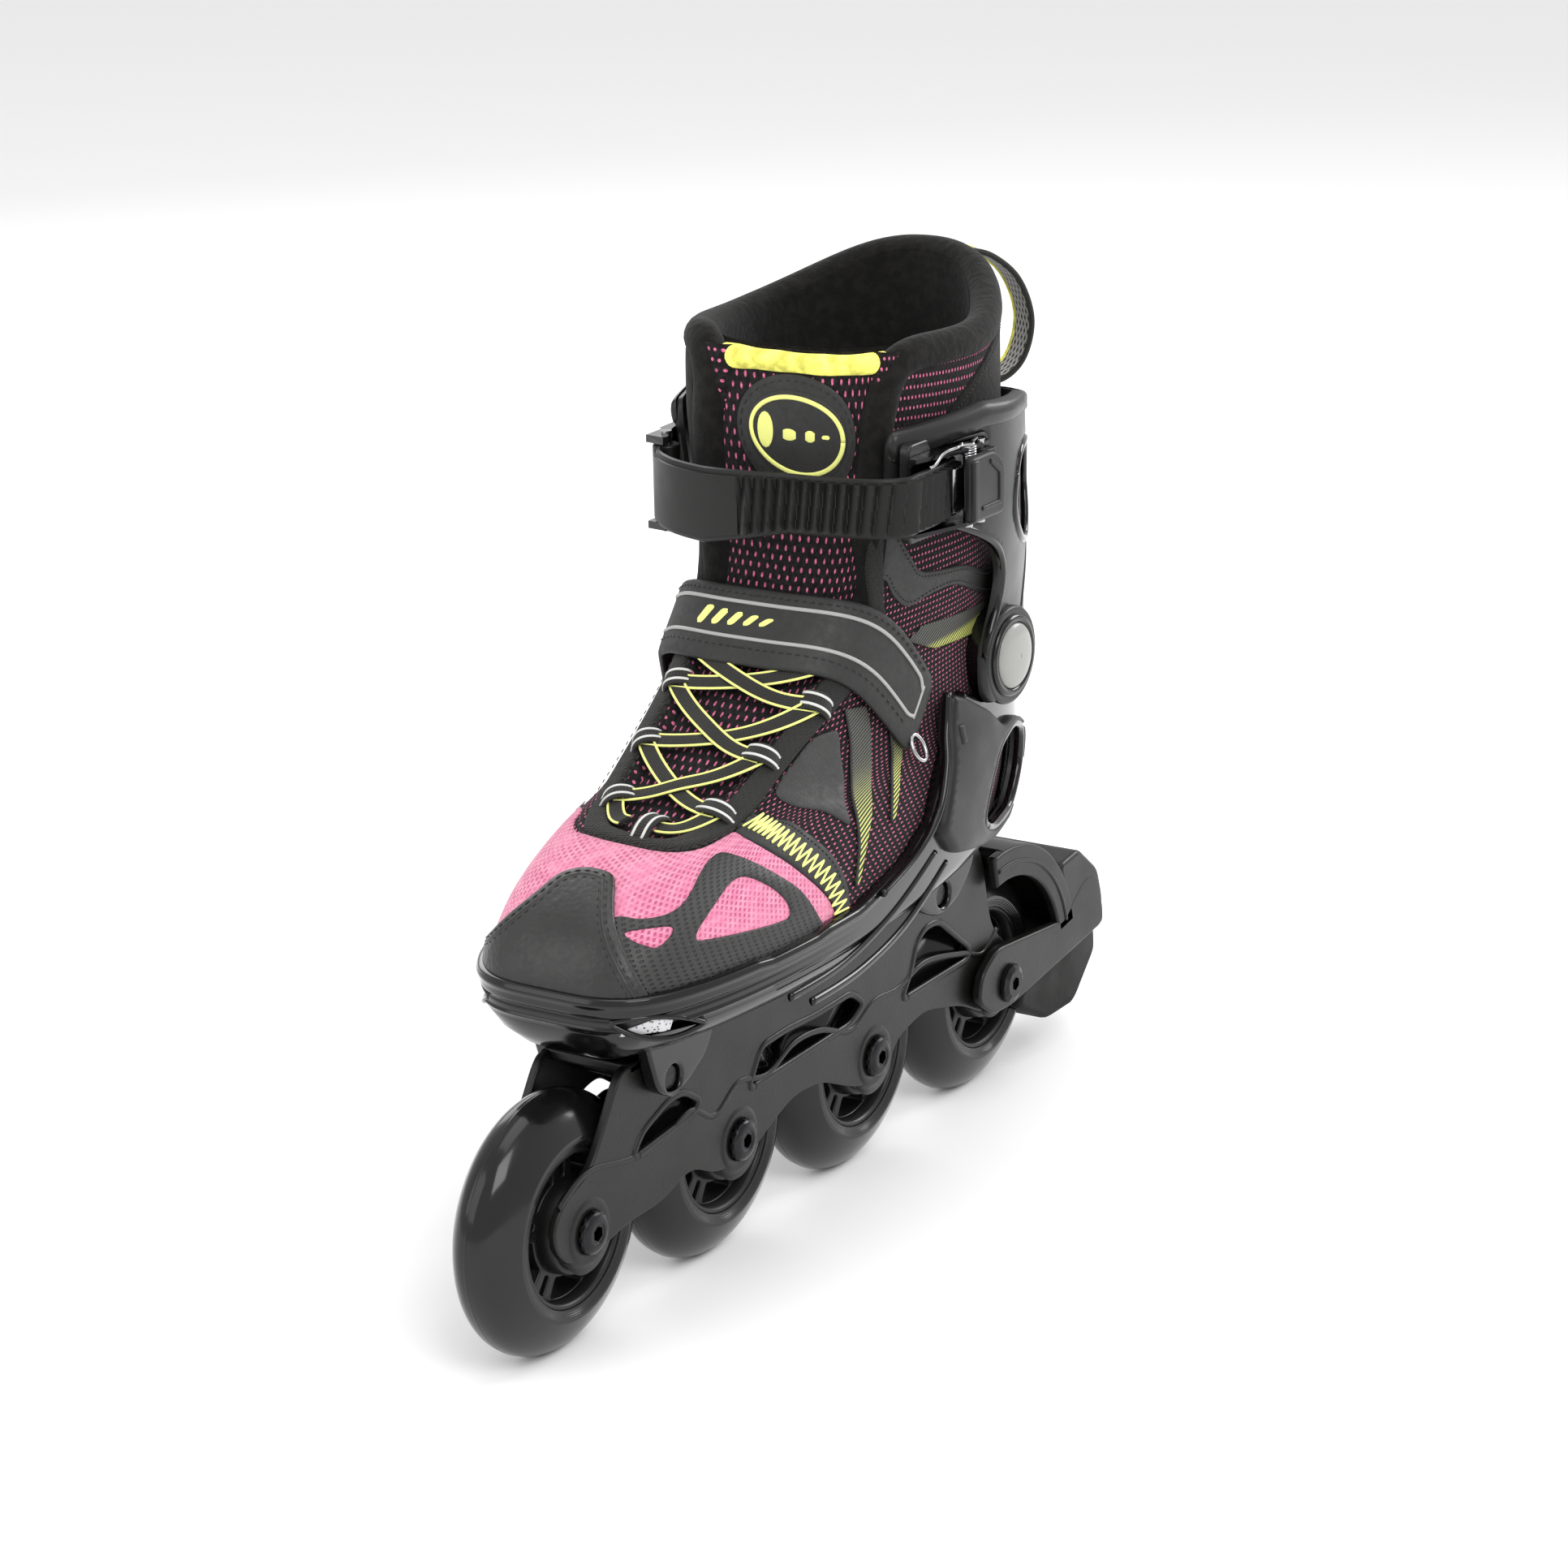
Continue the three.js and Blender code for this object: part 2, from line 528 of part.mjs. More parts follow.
// The tray that the foot stands in: narrow where it sits on the frame, wide at the rim.
function trayLoops() {
  const under = (scaleY, inset, z) => bootRing(0, 3).map((p) => {
    const x = p.x > 0 ? p.x - inset : p.x + inset * 0.7;
    return new THREE.Vector3(x, p.y * scaleY, z + (p.x < 0 ? 6 : 0));
  });
  return [
    under(0.42, 22, 80), under(0.5, 17, 86), under(0.74, 7, 91), under(0.94, 1, 97),
    bootRing(0.04, 3.9), bootRing(0.08, 4), bootRing(0.14, SHELL_GAP + SHELL_WALL),
  ];
}

function ears({ x, z }, outline) {
  const part = plate(polygon(outline), 16.2, 21.4);
  const hole = solidOf(crossRod(4.1, x, z, -40, 40));
  return join(solidOf(part), solidOf(mirrorY(part))).subtract(hole);
}

// A lens-shaped insert let into the toe bumper, facing outwards.
function ventLens({ x, y, turn }, depth, grow) {
  const lens = new THREE.Shape();
  const [half, tall] = [VENT.half + 3 * grow, VENT.tall + grow];
  lens.moveTo(-half, -tall * 0.5);
  lens.quadraticCurveTo(0, tall * 1.7, half, tall * 0.7);
  lens.quadraticCurveTo(0, -tall * 1.7, -half, -tall * 0.5);
  const part = new THREE.ExtrudeGeometry(lens, { depth: 14, bevelEnabled: false, curveSegments: 5 });
  part.rotateX(Math.PI / 2).translate(0, 14 - depth, 0);
  if (turn > 0) part.scale(-1, 1, 1);
  if (turn < 0) part.scale(1, -1, 1);
  part.rotateZ(THREE.MathUtils.degToRad(turn > 0 ? turn - 90 : turn + 90));
  return solidOf(part.translate(x, y, VENT.z));
}

function shellWithoutFittings() {
  const rings = shares(0.14, 0.62, 6).map((v) => bootRing(v, SHELL_GAP + SHELL_WALL));
  const wing = solidOf(loft(shares(0.08, 0.62, 6).map((v) => bootRing(v, WING_OUT))));
  const lobe = sideCut(circlePoints(PIVOT, 15));
  const neck = sideCut([[-66, 140], [-70, 167], [-98, 167], [-102, 140]]);
  const all = solidOf(loft([...trayLoops(), ...rings.slice(1)]));
  let body = all.intersect(join(sideCut(SHELL_SIDE), lobe, neck));
  body = join(body, wing.intersect(sideCut(WING_SIDE)));
  for (const side of [-1, 1]) {
    const disc = crossRod(14.6, PIVOT.x, PIVOT.z, ...ankleFaces(side, 30, LOBE.shellFace), 24);
    body = join(body, solidOf(disc));
  }
  return body.subtract(sideCut([...SOLE_LINE, [200, 0], [-200, 0]]));
}

function circlePoints({ x, z }, r, count = 24) {
  return Array.from({ length: count }, (_, k) => {
    const a = (2 * Math.PI * k) / count;
    return [x + r * Math.cos(a), z + r * Math.sin(a)];
  });
}

function shell() {
  let body = shellWithoutFittings().subtract(bootBody(SHELL_GAP)).subtract(sideCut(HEEL_WINDOW));
  body = join(body, ears(FRONT_BOLT, FRONT_EAR), ears(REAR_BOLT, REAR_EAR));
  for (const side of [-1, 1]) {
    const outside = ankleFaces(side, LOBE.shellFace + 0.02, 60);
    body = body.subtract(solidOf(crossRod(21.5, PIVOT.x, PIVOT.z, ...outside, 24)));
    const rivet = [side * 25, side * 60].sort((a, b) => a - b);
    body = body.subtract(solidOf(crossRod(SIDE_RIVET.r + 0.3, SIDE_RIVET.x, SIDE_RIVET.z, ...rivet)));
  }
  body = body.subtract(solidOf(crossRod(RIVET_R + 0.1, PIVOT.x, PIVOT.z, -60, 60, 24)));
  for (const vent of VENTS) body = body.subtract(ventLens(vent, VENT.depth, 0.5));
  return biggest(body);
}

add("shell", shell(), SHELL_PLASTIC);

const insideWing = solidOf(loft(shares(0.2, 0.6, 5).map((v) => bootRing(v, WING_OUT - 1))))
  .subtract(bootBody(SHELL_GAP + 0.4));
const fabricMesh = { color: 0xb9babc, roughness: 0.6, metalness: 0 };
const toeSkin = solidOf(loft([0, 0.04, 0.1].map((v) => bootRing(v, 3.4))));
for (const [side, sign] of [["left", 1], ["right", -1]]) {
  const y = [sign * 25, sign * 60].sort((a, b) => a - b);
  const rod = solidOf(crossRod(SIDE_RIVET.r, SIDE_RIVET.x, SIDE_RIVET.z, ...y));
  add(`shell_rivet_${side}`, biggest(rod.intersect(insideWing)), BLACK_STEEL);
  const vent = VENTS.find((v) => v.name.endsWith(side));
  const lens = ventLens(vent, VENT.depth - 0.4, 0);
  add(vent.name, biggest(lens.intersect(toeSkin)), fabricMesh);
}

// ---------------------------------------------------------------- ankle cuff
const CUFF_PLASTIC = { color: 0x141414, roughness: 0.45, metalness: 0 };
const CUFF_SIDE = [
  [-21, 224], [-21, 250], [-60, 254], [-90, 252], [-115, 246], [-150, 240], [-150, 146],
  [-104, 148.5], [-92, 152], [-76, 152], [-69, 158], [-68, 167], [-72, 176], [-77, 186], [-77, 197],
  [-71, 206], [-60, 212], [-40, 219],
];
const CUFF_WINDOW = [
  [-84, 233], [-96, 235], [-111, 231], [-117, 215], [-108, 200], [-96, 203], [-86, 210], [-81, 218],
];

function cuff() {
  const outer = solidOf(loft(shares(0.2, 1, 10).map((v) => bootRing(v, CUFF_OUT))));
  const inner = solidOf(loft(shares(0.16, 1.04, 11).map((v) => bootRing(v, CUFF_IN))));
  let body = outer.subtract(inner).intersect(sideCut(CUFF_SIDE)).subtract(sideCut(CUFF_WINDOW));
  const pad = solidOf(box([-60, -22], [37, POCKET_Y], [216, 247])).subtract(bootBody(1));
  body = join(body, pad.intersect(sideCut(CUFF_SIDE, 0, 90)));
  body = body.subtract(solidOf(box([-59.5, 0], [POCKET_Y, 80], [217.4, 245])));
  body = body.subtract(solidOf(box([-31, 0], [-90, 0], [200, 260])));
  body = body.subtract(solidOf(box([-150, 0], [-90, -58.3], [200, 260])));
  for (const side of [-1, 1]) {
    const clear = ankleFaces(side, 30, LOBE.cuffIn);
    body = body.subtract(solidOf(crossRod(20, PIVOT.x, PIVOT.z, ...clear, 24)));
    const lobe = ankleFaces(side, LOBE.cuffIn, LOBE.cuffOut);
    body = join(body, solidOf(crossRod(LOBE.r, PIVOT.x, PIVOT.z, ...lobe, 24)));
  }
  return biggest(body.subtract(solidOf(crossRod(RIVET_R + 0.1, PIVOT.x, PIVOT.z, -60, 60, 24))));
}

add("cuff", cuff(), CUFF_PLASTIC);

for (const [name, side] of [["left", 1], ["right", -1]]) {
  const rod = crossRod(RIVET_R, PIVOT.x, PIVOT.z, ...ankleFaces(side, 39, LOBE.cuffOut), 24);
  add(`cuff_rivet_${name}`, solidOf(rod), STEEL);
  const dome = [
    [0, LOBE.capIn], [CAP_R, LOBE.capIn], [CAP_R, LOBE.capOut - 1.6], [CAP_R * 0.8, LOBE.capOut - 0.6],
    [0, LOBE.capOut], [0, LOBE.capIn],
  ].map(([r, y]) => [r, side * y + ANKLE_SHIFT]);
  const cap = solidOf(turned(dome, PIVOT.x, PIVOT.z, 24));
  add(`cuff_cap_${name}`, cap, { color: 0x77776f, roughness: 0.3, metalness: 0 });
}

// ---------------------------------------------------------------- laces and instep strap
// A band on the boot surface: its edges run along share(phi), and it lies between two offsets.
function band(phis, lowEdge, highEdge, near, far) {
  const loops = phis.map((phi) => [
    bootPoint(lowEdge(phi), phi, near), bootPoint(highEdge(phi), phi, near),
    bootPoint(highEdge(phi), phi, far), bootPoint(lowEdge(phi), phi, far),
  ]);
  return solidOf(loft(loops));
}

const LACE = { rows: [0.415, 0.455, 0.495, 0.535, 0.575], turn: 0.27, half: 0.01, off: [1.6, 2.8] };
function lace() {
  const strands = [];
  LACE.rows.slice(1).forEach((high, k) => {
    const low = LACE.rows[k];
    for (const sign of [-1, 1]) {
      const at = (phi) => low + ((high - low) * (sign * phi + LACE.turn)) / (2 * LACE.turn);
      const phis = shares(-LACE.turn, LACE.turn, 5);
      strands.push(band(phis, (p) => at(p) - LACE.half, (p) => at(p) + LACE.half, ...LACE.off));
    }
  });
  return biggest(join(...strands));
}
add("lace", lace(), { color: 0x1c1d18, roughness: 0.9, metalness: 0 });

const STRAP = { top: 0.731, topSide: 0.515, low: 0.648, lowSide: 0.375, turn: 1.5, off: [1.2, 4.2] };
const slope = (phi) => (Math.abs(phi) / STRAP.turn) ** 2.8;
add("instep_strap", band(
  shares(-STRAP.turn, STRAP.turn, 19),
  (phi) => STRAP.low + (STRAP.lowSide - STRAP.low) * slope(phi),
  (phi) => STRAP.top + (STRAP.topSide - STRAP.top) * slope(phi),
  ...STRAP.off,
), { color: 0x141414, roughness: 0.7, metalness: 0 });

function strapRing() {
  const at = bootPoint(0.37, 1.44, 5);
  const torus = new THREE.TorusGeometry(5.4, 1, 6, 12).rotateX(Math.PI / 2);
  return solidOf(torus.rotateZ(-0.15).translate(at.x, at.y, at.z));
}
add("strap_ring", strapRing(), STEEL);

// ---------------------------------------------------------------- ratchet buckle
function ratchetFrame() {
  const [back, front] = RATCHET.x;
  const { low, high, wall, base, top } = RATCHET;
  const floor = solidOf(box([back, front], base, [low, high]));
  const flange = polygon([
    [back, base[0]], [front, base[0]], [front, base[1] + 2], [-38, top - 1], [-42, top],
    [back + 2, top], [back, top - 2],
  ]);
  let body = join(floor, solidOf(slab(flange, low, low + wall)), solidOf(slab(flange, high - wall, high)));
  for (const pin of [LEVER_PIN, PAWL_PIN]) {
    body = body.subtract(solidOf(uprightRod(pin.r + 0.1, pin.x, pin.y, 200, 260)));
  }
  return body;
}
add("ratchet_frame", ratchetFrame(), BLACK_STEEL);

const pinEnds = [RATCHET.low - 0.9, RATCHET.high + 0.9];
add("ratchet_pin", solidOf(uprightRod(LEVER_PIN.r, LEVER_PIN.x, LEVER_PIN.y, ...pinEnds)), STEEL);

// D-shaped tab with two cheeks round the pin.
function lever() {
  const tab = polygon([
    [-57, 49], [-55, 51.4], [-39, 52.4], [-37, 52.2], [-37, 53.8], [-40, 54.2], [-54, 53.4],
    [-57.4, 50.6],
  ]);
  const cheek = polygon([
    [-56.6, 46.6], [-53, 44.6], [-49.4, 46.6], [-49.4, 51.9], [-56, 50.8],
  ]);
  const { low, high, wall } = RATCHET;
  let body = solidOf(slab(tab, low + wall + 0.5, high - wall - 0.5));
  const cheeks = [[low + wall + 0.5, low + wall + 2.6], [high - wall - 2.6, high - wall - 0.5]];
  for (const z of cheeks) body = join(body, solidOf(slab(cheek, ...z)));
  return body.subtract(solidOf(uprightRod(LEVER_PIN.r + 0.1, LEVER_PIN.x, LEVER_PIN.y, 200, 260)));
}
add("ratchet_lever", lever(), { color: 0x101011, roughness: 0.35, metalness: 0 });

// Spring catch: a blade on its own cross pin, its tip just over the teeth.
function pawl() {
  const { x, y, r } = PAWL_PIN;
  const blade = polygon([[x - 0.8, y + 1.8], [x + 1.6, y + 1.4], [-35.2, y + 0.6], [-35.8, y - 0.4],
    [x + 1.8, y - 0.6], [x, y - 1.7]]);
  const rod = solidOf(uprightRod(r, x, y, ...pinEnds));
  return join(rod, solidOf(slab(blade, 224.5, 238)));
}
add("ratchet_pawl", pawl(), STEEL);

// ---------------------------------------------------------------- ladder strap and its anchor
function ladderOutline() {
  const { inner, thick, tooth, pitch, fromX, toX } = TAIL;
  const angle = (x) => Math.acos((x - STRAP_PIN.x) / inner);
  const spot = (r, a) => [STRAP_PIN.x + r * Math.cos(a), STRAP_PIN.y + r * Math.sin(a)];
  const [start, end] = [angle(fromX), angle(toX)];
  const arc = [0, 0.5, 1].map((t) => spot(inner, start + (end - start) * t));
  const insidePath = [...arc, ...STRAP_FRONT, [STRAP_PIN.x + 3, STRAP_PIN.y + 1]];
  const curve = new THREE.CatmullRomCurve3(insidePath.map(([x, y]) => new THREE.Vector3(x, y, 0)));
  const length = curve.getLength();
  const outer = [];
  const toothed = length * 0.52;
  const normalAt = (u) => {
    const t = curve.getTangentAt(u);
    return new THREE.Vector3(-t.y, t.x, 0);
  };
  const push = (along, height) => {
    const u = Math.min(along / length, 1);
    const p = curve.getPointAt(u).addScaledVector(normalAt(u), height);
    outer.push([p.x, p.y]);
  };
  for (let along = 0; along < toothed; along += pitch) {
    push(along, thick);
    push(along + 0.25, thick + tooth);
  }
  for (let along = toothed + pitch; along < length; along += 9) push(along, thick + 0.8);
  const inside = shares(0, 0.99, 16).map((u) => curve.getPointAt(u)).map((p) => [p.x, p.y]);
  return [...outer, ...inside.reverse()];
}

function ladderStrap() {
  const { low, high, anchorLow, anchorHigh } = STRAP_Z;
  let body = solidOf(slab(polygon(ladderOutline()), anchorLow, high));
  const front = [
    [60, low], [60, high], [20, high], [-20, anchorHigh], [-60, anchorHigh], [-60, anchorLow],
    [-20, anchorLow], [12, low],
  ];
  const face = new THREE.ExtrudeGeometry(polygon(front), { depth: 120, bevelEnabled: false });
  face.applyMatrix4(new THREE.Matrix4().set(0, 0, 1, -90, 1, 0, 0, 0, 0, 1, 0, 0, 0, 0, 0, 1));
  body = body.intersect(solidOf(face));
  body = join(body, solidOf(uprightRod(4.4, STRAP_PIN.x, STRAP_PIN.y, anchorLow, anchorHigh, 24)));
  const bore = uprightRod(STRAP_PIN.r + 0.1, STRAP_PIN.x, STRAP_PIN.y, 200, 260);
  return biggest(body.subtract(solidOf(bore)));
}
add("ladder_strap", ladderStrap(), { color: 0x161616, roughness: 0.55, metalness: 0 });

function anchorBracket() {
  const ear = polygon([[-52, -54.8], [-30, -53.4], [-20, -53], [-19, -46], [-26, -43.6], [-31, -49],
    [-52, -53.4]]);
  let body = solidOf(slab(polygon([[-54, -56.6], [-31, -55], [-29, -53], [-54, -54.9]]), 211.5, 241.5));
  for (const z of [[211.5, 213.9], [239.1, 241.5]]) body = join(body, solidOf(slab(ear, ...z)));
  body = body.subtract(solidOf(loft(shares(0.5, 1, 6).map((v) => bootRing(v, CUFF_OUT + 0.4)))));
  const bore = uprightRod(STRAP_PIN.r + 0.1, STRAP_PIN.x, STRAP_PIN.y, 200, 260);
  return biggest(body.subtract(solidOf(bore)));
}
add("anchor_bracket", anchorBracket(), { color: 0x0e0e0f, roughness: 0.2, metalness: 0 });
const anchorEnds = [210.4, 242.6];
add("anchor_pin", solidOf(uprightRod(STRAP_PIN.r, STRAP_PIN.x, STRAP_PIN.y, ...anchorEnds)), STEEL);

export default skate;
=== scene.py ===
import bpy
import numpy as np
from mathutils import Matrix, Vector
from mathutils.geometry import delaunay_2d_cdt


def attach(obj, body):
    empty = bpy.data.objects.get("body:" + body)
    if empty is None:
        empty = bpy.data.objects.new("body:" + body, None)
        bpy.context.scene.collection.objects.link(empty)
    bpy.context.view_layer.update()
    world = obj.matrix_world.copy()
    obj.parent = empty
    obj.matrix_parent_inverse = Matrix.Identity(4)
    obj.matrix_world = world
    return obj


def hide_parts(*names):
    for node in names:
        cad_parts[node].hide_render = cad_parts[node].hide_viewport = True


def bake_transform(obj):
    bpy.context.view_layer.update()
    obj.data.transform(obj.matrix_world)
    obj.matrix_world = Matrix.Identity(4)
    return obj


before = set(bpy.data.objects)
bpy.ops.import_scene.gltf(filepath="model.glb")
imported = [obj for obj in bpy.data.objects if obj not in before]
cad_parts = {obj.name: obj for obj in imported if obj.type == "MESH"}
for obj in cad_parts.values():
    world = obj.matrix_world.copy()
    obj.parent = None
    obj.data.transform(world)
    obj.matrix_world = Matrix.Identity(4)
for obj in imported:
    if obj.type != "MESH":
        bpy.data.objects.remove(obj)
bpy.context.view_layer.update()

# ---------------------------------------------------------------- floor, light and camera
# A pale seamless floor with large soft lights. The camera is a long lens at shin height, looking at the
# outer front quarter of the skate. All sizes below are millimetres from the point under the middle of the
# wheels.
SHIFT = np.array([22.5, 0, 0])


def place(point):
    """A point in millimetres, moved into the model's frame in metres."""
    return Vector(((np.array(point, float) + SHIFT) / 1000).tolist())


def camera_turn(azimuth, elevation, roll):
    """Rotation whose back axis points from the object to the lens, rolled about that axis, in degrees."""
    a, e, t = np.radians([azimuth, elevation, roll])
    back = Vector((np.sin(a) * np.cos(e), -np.cos(a) * np.cos(e), np.sin(e)))
    right = Vector((0, 0, 1)).cross(back).normalized()
    up = back.cross(right)
    rolled = (right * np.cos(t) - up * np.sin(t), right * np.sin(t) + up * np.cos(t), back)
    return Matrix(rolled).transposed().to_euler()


def set_down(name, data):
    """A new object that shows the data in the scene."""
    obj = bpy.data.objects.new(name, data)
    bpy.context.scene.collection.objects.link(obj)
    return obj


camera = set_down("camera", bpy.data.cameras.new("camera"))
camera.data.lens = 93.06
camera.data.sensor_width = 36
camera.data.clip_end = 50
camera.location = place((1008.3, 643.4, 515.1))
camera.rotation_euler = camera_turn(122.2022, 17.3918, 0.9923)
bpy.context.scene.camera = camera


def soft_light(name, place_m, size, watts, aim=(0, 0, 0.12)):
    """A square area light at a place in metres, turned to shine at the aim point."""
    lamp = bpy.data.lights.new(name, "AREA")
    lamp.shape = "SQUARE"
    lamp.size = size
    lamp.energy = watts
    obj = set_down(name, lamp)
    obj.location = place_m
    obj.rotation_euler = (Vector(aim) - Vector(place_m)).to_track_quat("-Z", "Y").to_euler()


soft_light("key_left_front", (0.9, 1.3, 1.5), 1.0, 17)
soft_light("fill_right_front", (1.5, -0.9, 1.0), 1.2, 6)
soft_light("top", (0.0, 0.1, 1.9), 1.3, 9)
soft_light("rim_back", (-1.4, 0.7, 0.9), 0.7, 13)
soft_light("side_back", (-0.9, -1.3, 1.0), 0.9, 6)
world = bpy.data.worlds.new("pale_room")
world.use_nodes = True
sky = world.node_tree.nodes["Background"].inputs
sky["Color"].default_value = (1, 1, 1, 1)
sky["Strength"].default_value = 0.84
bpy.context.scene.world = world
bpy.context.scene.view_settings.view_transform = "Standard"

floor_mesh = bpy.data.meshes.new("floor")
floor_mesh.from_pydata([(-9, -9, 0), (9, -9, 0), (9, 9, 0), (-9, 9, 0)], [], [(0, 1, 2, 3)])
floor = set_down("floor", floor_mesh)
floor_paint = bpy.data.materials.new("floor_paint")
floor_paint.use_nodes = True
floor_shader = floor_paint.node_tree.nodes["Principled BSDF"].inputs
floor_shader["Base Color"].default_value = (0.93, 0.93, 0.93, 1)
floor_shader["Roughness"].default_value = 0.9
floor_mesh.materials.append(floor_paint)

# ---------------------------------------------------------------- wheels
# Four smoky black urethane tyres with a bullet profile, cast round a black nylon core that has five pairs
# of thin spokes. A fine moulding line runs round the crown, and fine rings mark the flat of each side.
AXLES = [121.5, 40.5, -40.5, -121.5]
WHEEL_R = 40.0
REAR_AXLE = (AXLES[3], WHEEL_R)


class Shader:
    """A Principled material and short calls that wire its nodes. A number or a node's output can be
    given."""

    def __init__(self, name, color=(0.5, 0.5, 0.5), rough=0.5, metal=0.0, coords="Object", **sockets):
        self.mat = bpy.data.materials.new(name)
        self.mat.use_nodes = True
        self.tree = self.mat.node_tree
        self.bsdf = self.tree.nodes["Principled BSDF"]
        self.set("Base Color", color)
        self.set("Roughness", rough)
        self.set("Metallic", metal)
        for socket, value in sockets.items():
            self.set(socket.replace("_", " "), value)
        self.where = self.node("ShaderNodeTexCoord").outputs[coords]
        self.relief = None

    def node(self, kind, **settings):
        made = self.tree.nodes.new(kind)
        for key, value in settings.items():
            setattr(made, key, value)
        return made

    def plug(self, socket, value):
        if isinstance(value, bpy.types.NodeSocket):
            self.tree.links.new(value, socket)
        elif isinstance(value, (tuple, list)) and socket.type == "RGBA":
            socket.default_value = (*value[:3], 1)
        else:
            socket.default_value = value

    def set(self, socket, value):
        self.plug(self.bsdf.inputs[socket], value)

    def math(self, operation, a, b=0.0, c=0.0, clamp=False):
        made = self.node("ShaderNodeMath", operation=operation, use_clamp=clamp)
        for socket, value in zip(made.inputs, (a, b, c)):
            self.plug(socket, value)
        return made.outputs[0]

    def axes(self, turn=0.0, scale=(1, 1, 1)):
        """The coordinates as three numbers, turned about Z in degrees and scaled."""
        made = self.node("ShaderNodeMapping")
        self.plug(made.inputs["Vector"], self.where)
        made.inputs["Rotation"].default_value = (0, 0, np.radians(turn))
        made.inputs["Scale"].default_value = scale
        split = self.node("ShaderNodeSeparateXYZ")
        self.plug(split.inputs[0], made.outputs[0])
        return split.outputs

    def from_middle(self, value):
        """How far a coordinate is from the middle of its unit cell, 0 to 0.5."""
        return self.math("ABSOLUTE", self.math("SUBTRACT", self.math("FRACT", value), 0.5))

    def length(self, a, b):
        """The root of the sum of two squares."""
        squares = self.math("ADD", self.math("MULTIPLY", a, a), self.math("MULTIPLY", b, b))
        return self.math("SQRT", squares)

    def half_step(self, value):
        """0 in even unit cells and 0.5 in odd ones, which staggers each second row."""
        odd = self.math("MODULO", self.math("ADD", self.math("FLOOR", value), 400.0), 2.0)
        return self.math("MULTIPLY", odd, 0.5)

    def noise(self, scale, detail=3.0, stretch=(1, 1, 1)):
        made = self.node("ShaderNodeTexNoise")
        made.inputs["Scale"].default_value = scale
        made.inputs["Detail"].default_value = detail
        mapping = self.node("ShaderNodeMapping")
        self.plug(mapping.inputs["Vector"], self.where)
        mapping.inputs["Scale"].default_value = stretch
        self.plug(made.inputs["Vector"], mapping.outputs[0])
        return made.outputs["Fac"]

    def spread(self, value, low, high, to_low=0.0, to_high=1.0, smooth=True):
        """The value carried from the range low to high onto the range to_low to to_high."""
        made = self.node("ShaderNodeMapRange", interpolation_type="SMOOTHSTEP" if smooth else "LINEAR")
        for socket, number in zip(made.inputs, (value, low, high, to_low, to_high)):
            self.plug(socket, number)
        return made.outputs[0]

    def mix(self, share, a, b):
        made = self.node("ShaderNodeMix", data_type="RGBA")
        self.plug(made.inputs[0], share)
        self.plug(made.inputs[6], a)
        self.plug(made.inputs[7], b)
        return made.outputs[2]

    def bump(self, height, depth, strength=1.0):
        """Adds a height field, with its depth in millimetres, to the surface."""
        made = self.node("ShaderNodeBump")
        made.inputs["Strength"].default_value = strength
        made.inputs["Distance"].default_value = depth / 1000
        self.plug(made.inputs["Height"], height)
        if self.relief:
            self.plug(made.inputs["Normal"], self.relief)
        self.relief = made.outputs[0]
        self.set("Normal", self.relief)


def moulded(name, color, rough, grain=0.03, grain_size=900, coat=0.0, sheen=0.0):
    """Moulded plastic or rubber: one colour, a fine pebble in the surface and slight changes of gloss."""
    s = Shader(name, color, rough, Coat_Weight=coat, Coat_Roughness=0.08, Sheen_Weight=sheen)
    s.set("Specular IOR Level", 0.32)
    s.set("Roughness", s.spread(s.noise(35, 4), 0.3, 0.7, rough * 0.85, min(1.0, rough * 1.18)))
    s.bump(s.noise(grain_size, 2), grain)
    return s.mat


def build(name, points, faces, material, uv=None):
    """A mesh object from points in millimetres, rows of corner numbers, and one (u, v) for each point."""
    mesh = bpy.data.meshes.new(name)
    rows = faces if isinstance(faces, list) else faces.tolist()
    mesh.from_pydata(((np.asarray(points, float) + SHIFT) / 1000).tolist(), [], rows)
    if uv is not None:
        corner = np.empty(len(mesh.loops), np.int32)
        mesh.loops.foreach_get("vertex_index", corner)
        mesh.uv_layers.new(name="UVMap").data.foreach_set("uv", np.asarray(uv, float)[corner].ravel())
    mesh.materials.append(material)
    mesh.shade_smooth()
    return set_down(name, mesh)


def quads(rows, cols, wrap_rows=False, wrap_cols=False):
    """Corner numbers of the faces of a grid of points, row after row."""
    r = np.arange(rows if wrap_rows else rows - 1)[:, None]
    c = np.arange(cols if wrap_cols else cols - 1)[None]
    r2, c2 = (r + 1) % rows, (c + 1) % cols
    return np.stack(np.broadcast_arrays(r * cols + c, r * cols + c2, r2 * cols + c2, r2 * cols + c),
                    -1).reshape(-1, 4)


def curve_through(points, per=8, closed=False):
    """A smooth curve through the rows of points: uniform cubic spans, so a point given twice is a
    corner."""
    p = np.asarray(points, float)
    n = len(p)
    pick = (lambda i: p[i % n]) if closed else (lambda i: p[np.clip(i, 0, n - 1)])
    i = np.repeat(np.arange(n if closed else n - 1), per)
    t = np.tile(np.arange(per) / per, n if closed else n - 1)[:, None]
    a, b, c, d = pick(i - 1), pick(i), pick(i + 1), pick(i + 2)
    curve = 0.5 * (2 * b + (c - a) * t + (2 * a - 5 * b + 4 * c - d) * t**2 + (3 * b - a - 3 * c + d)
                   * t**3)
    return curve if closed else np.vstack([curve, p[-1:]])


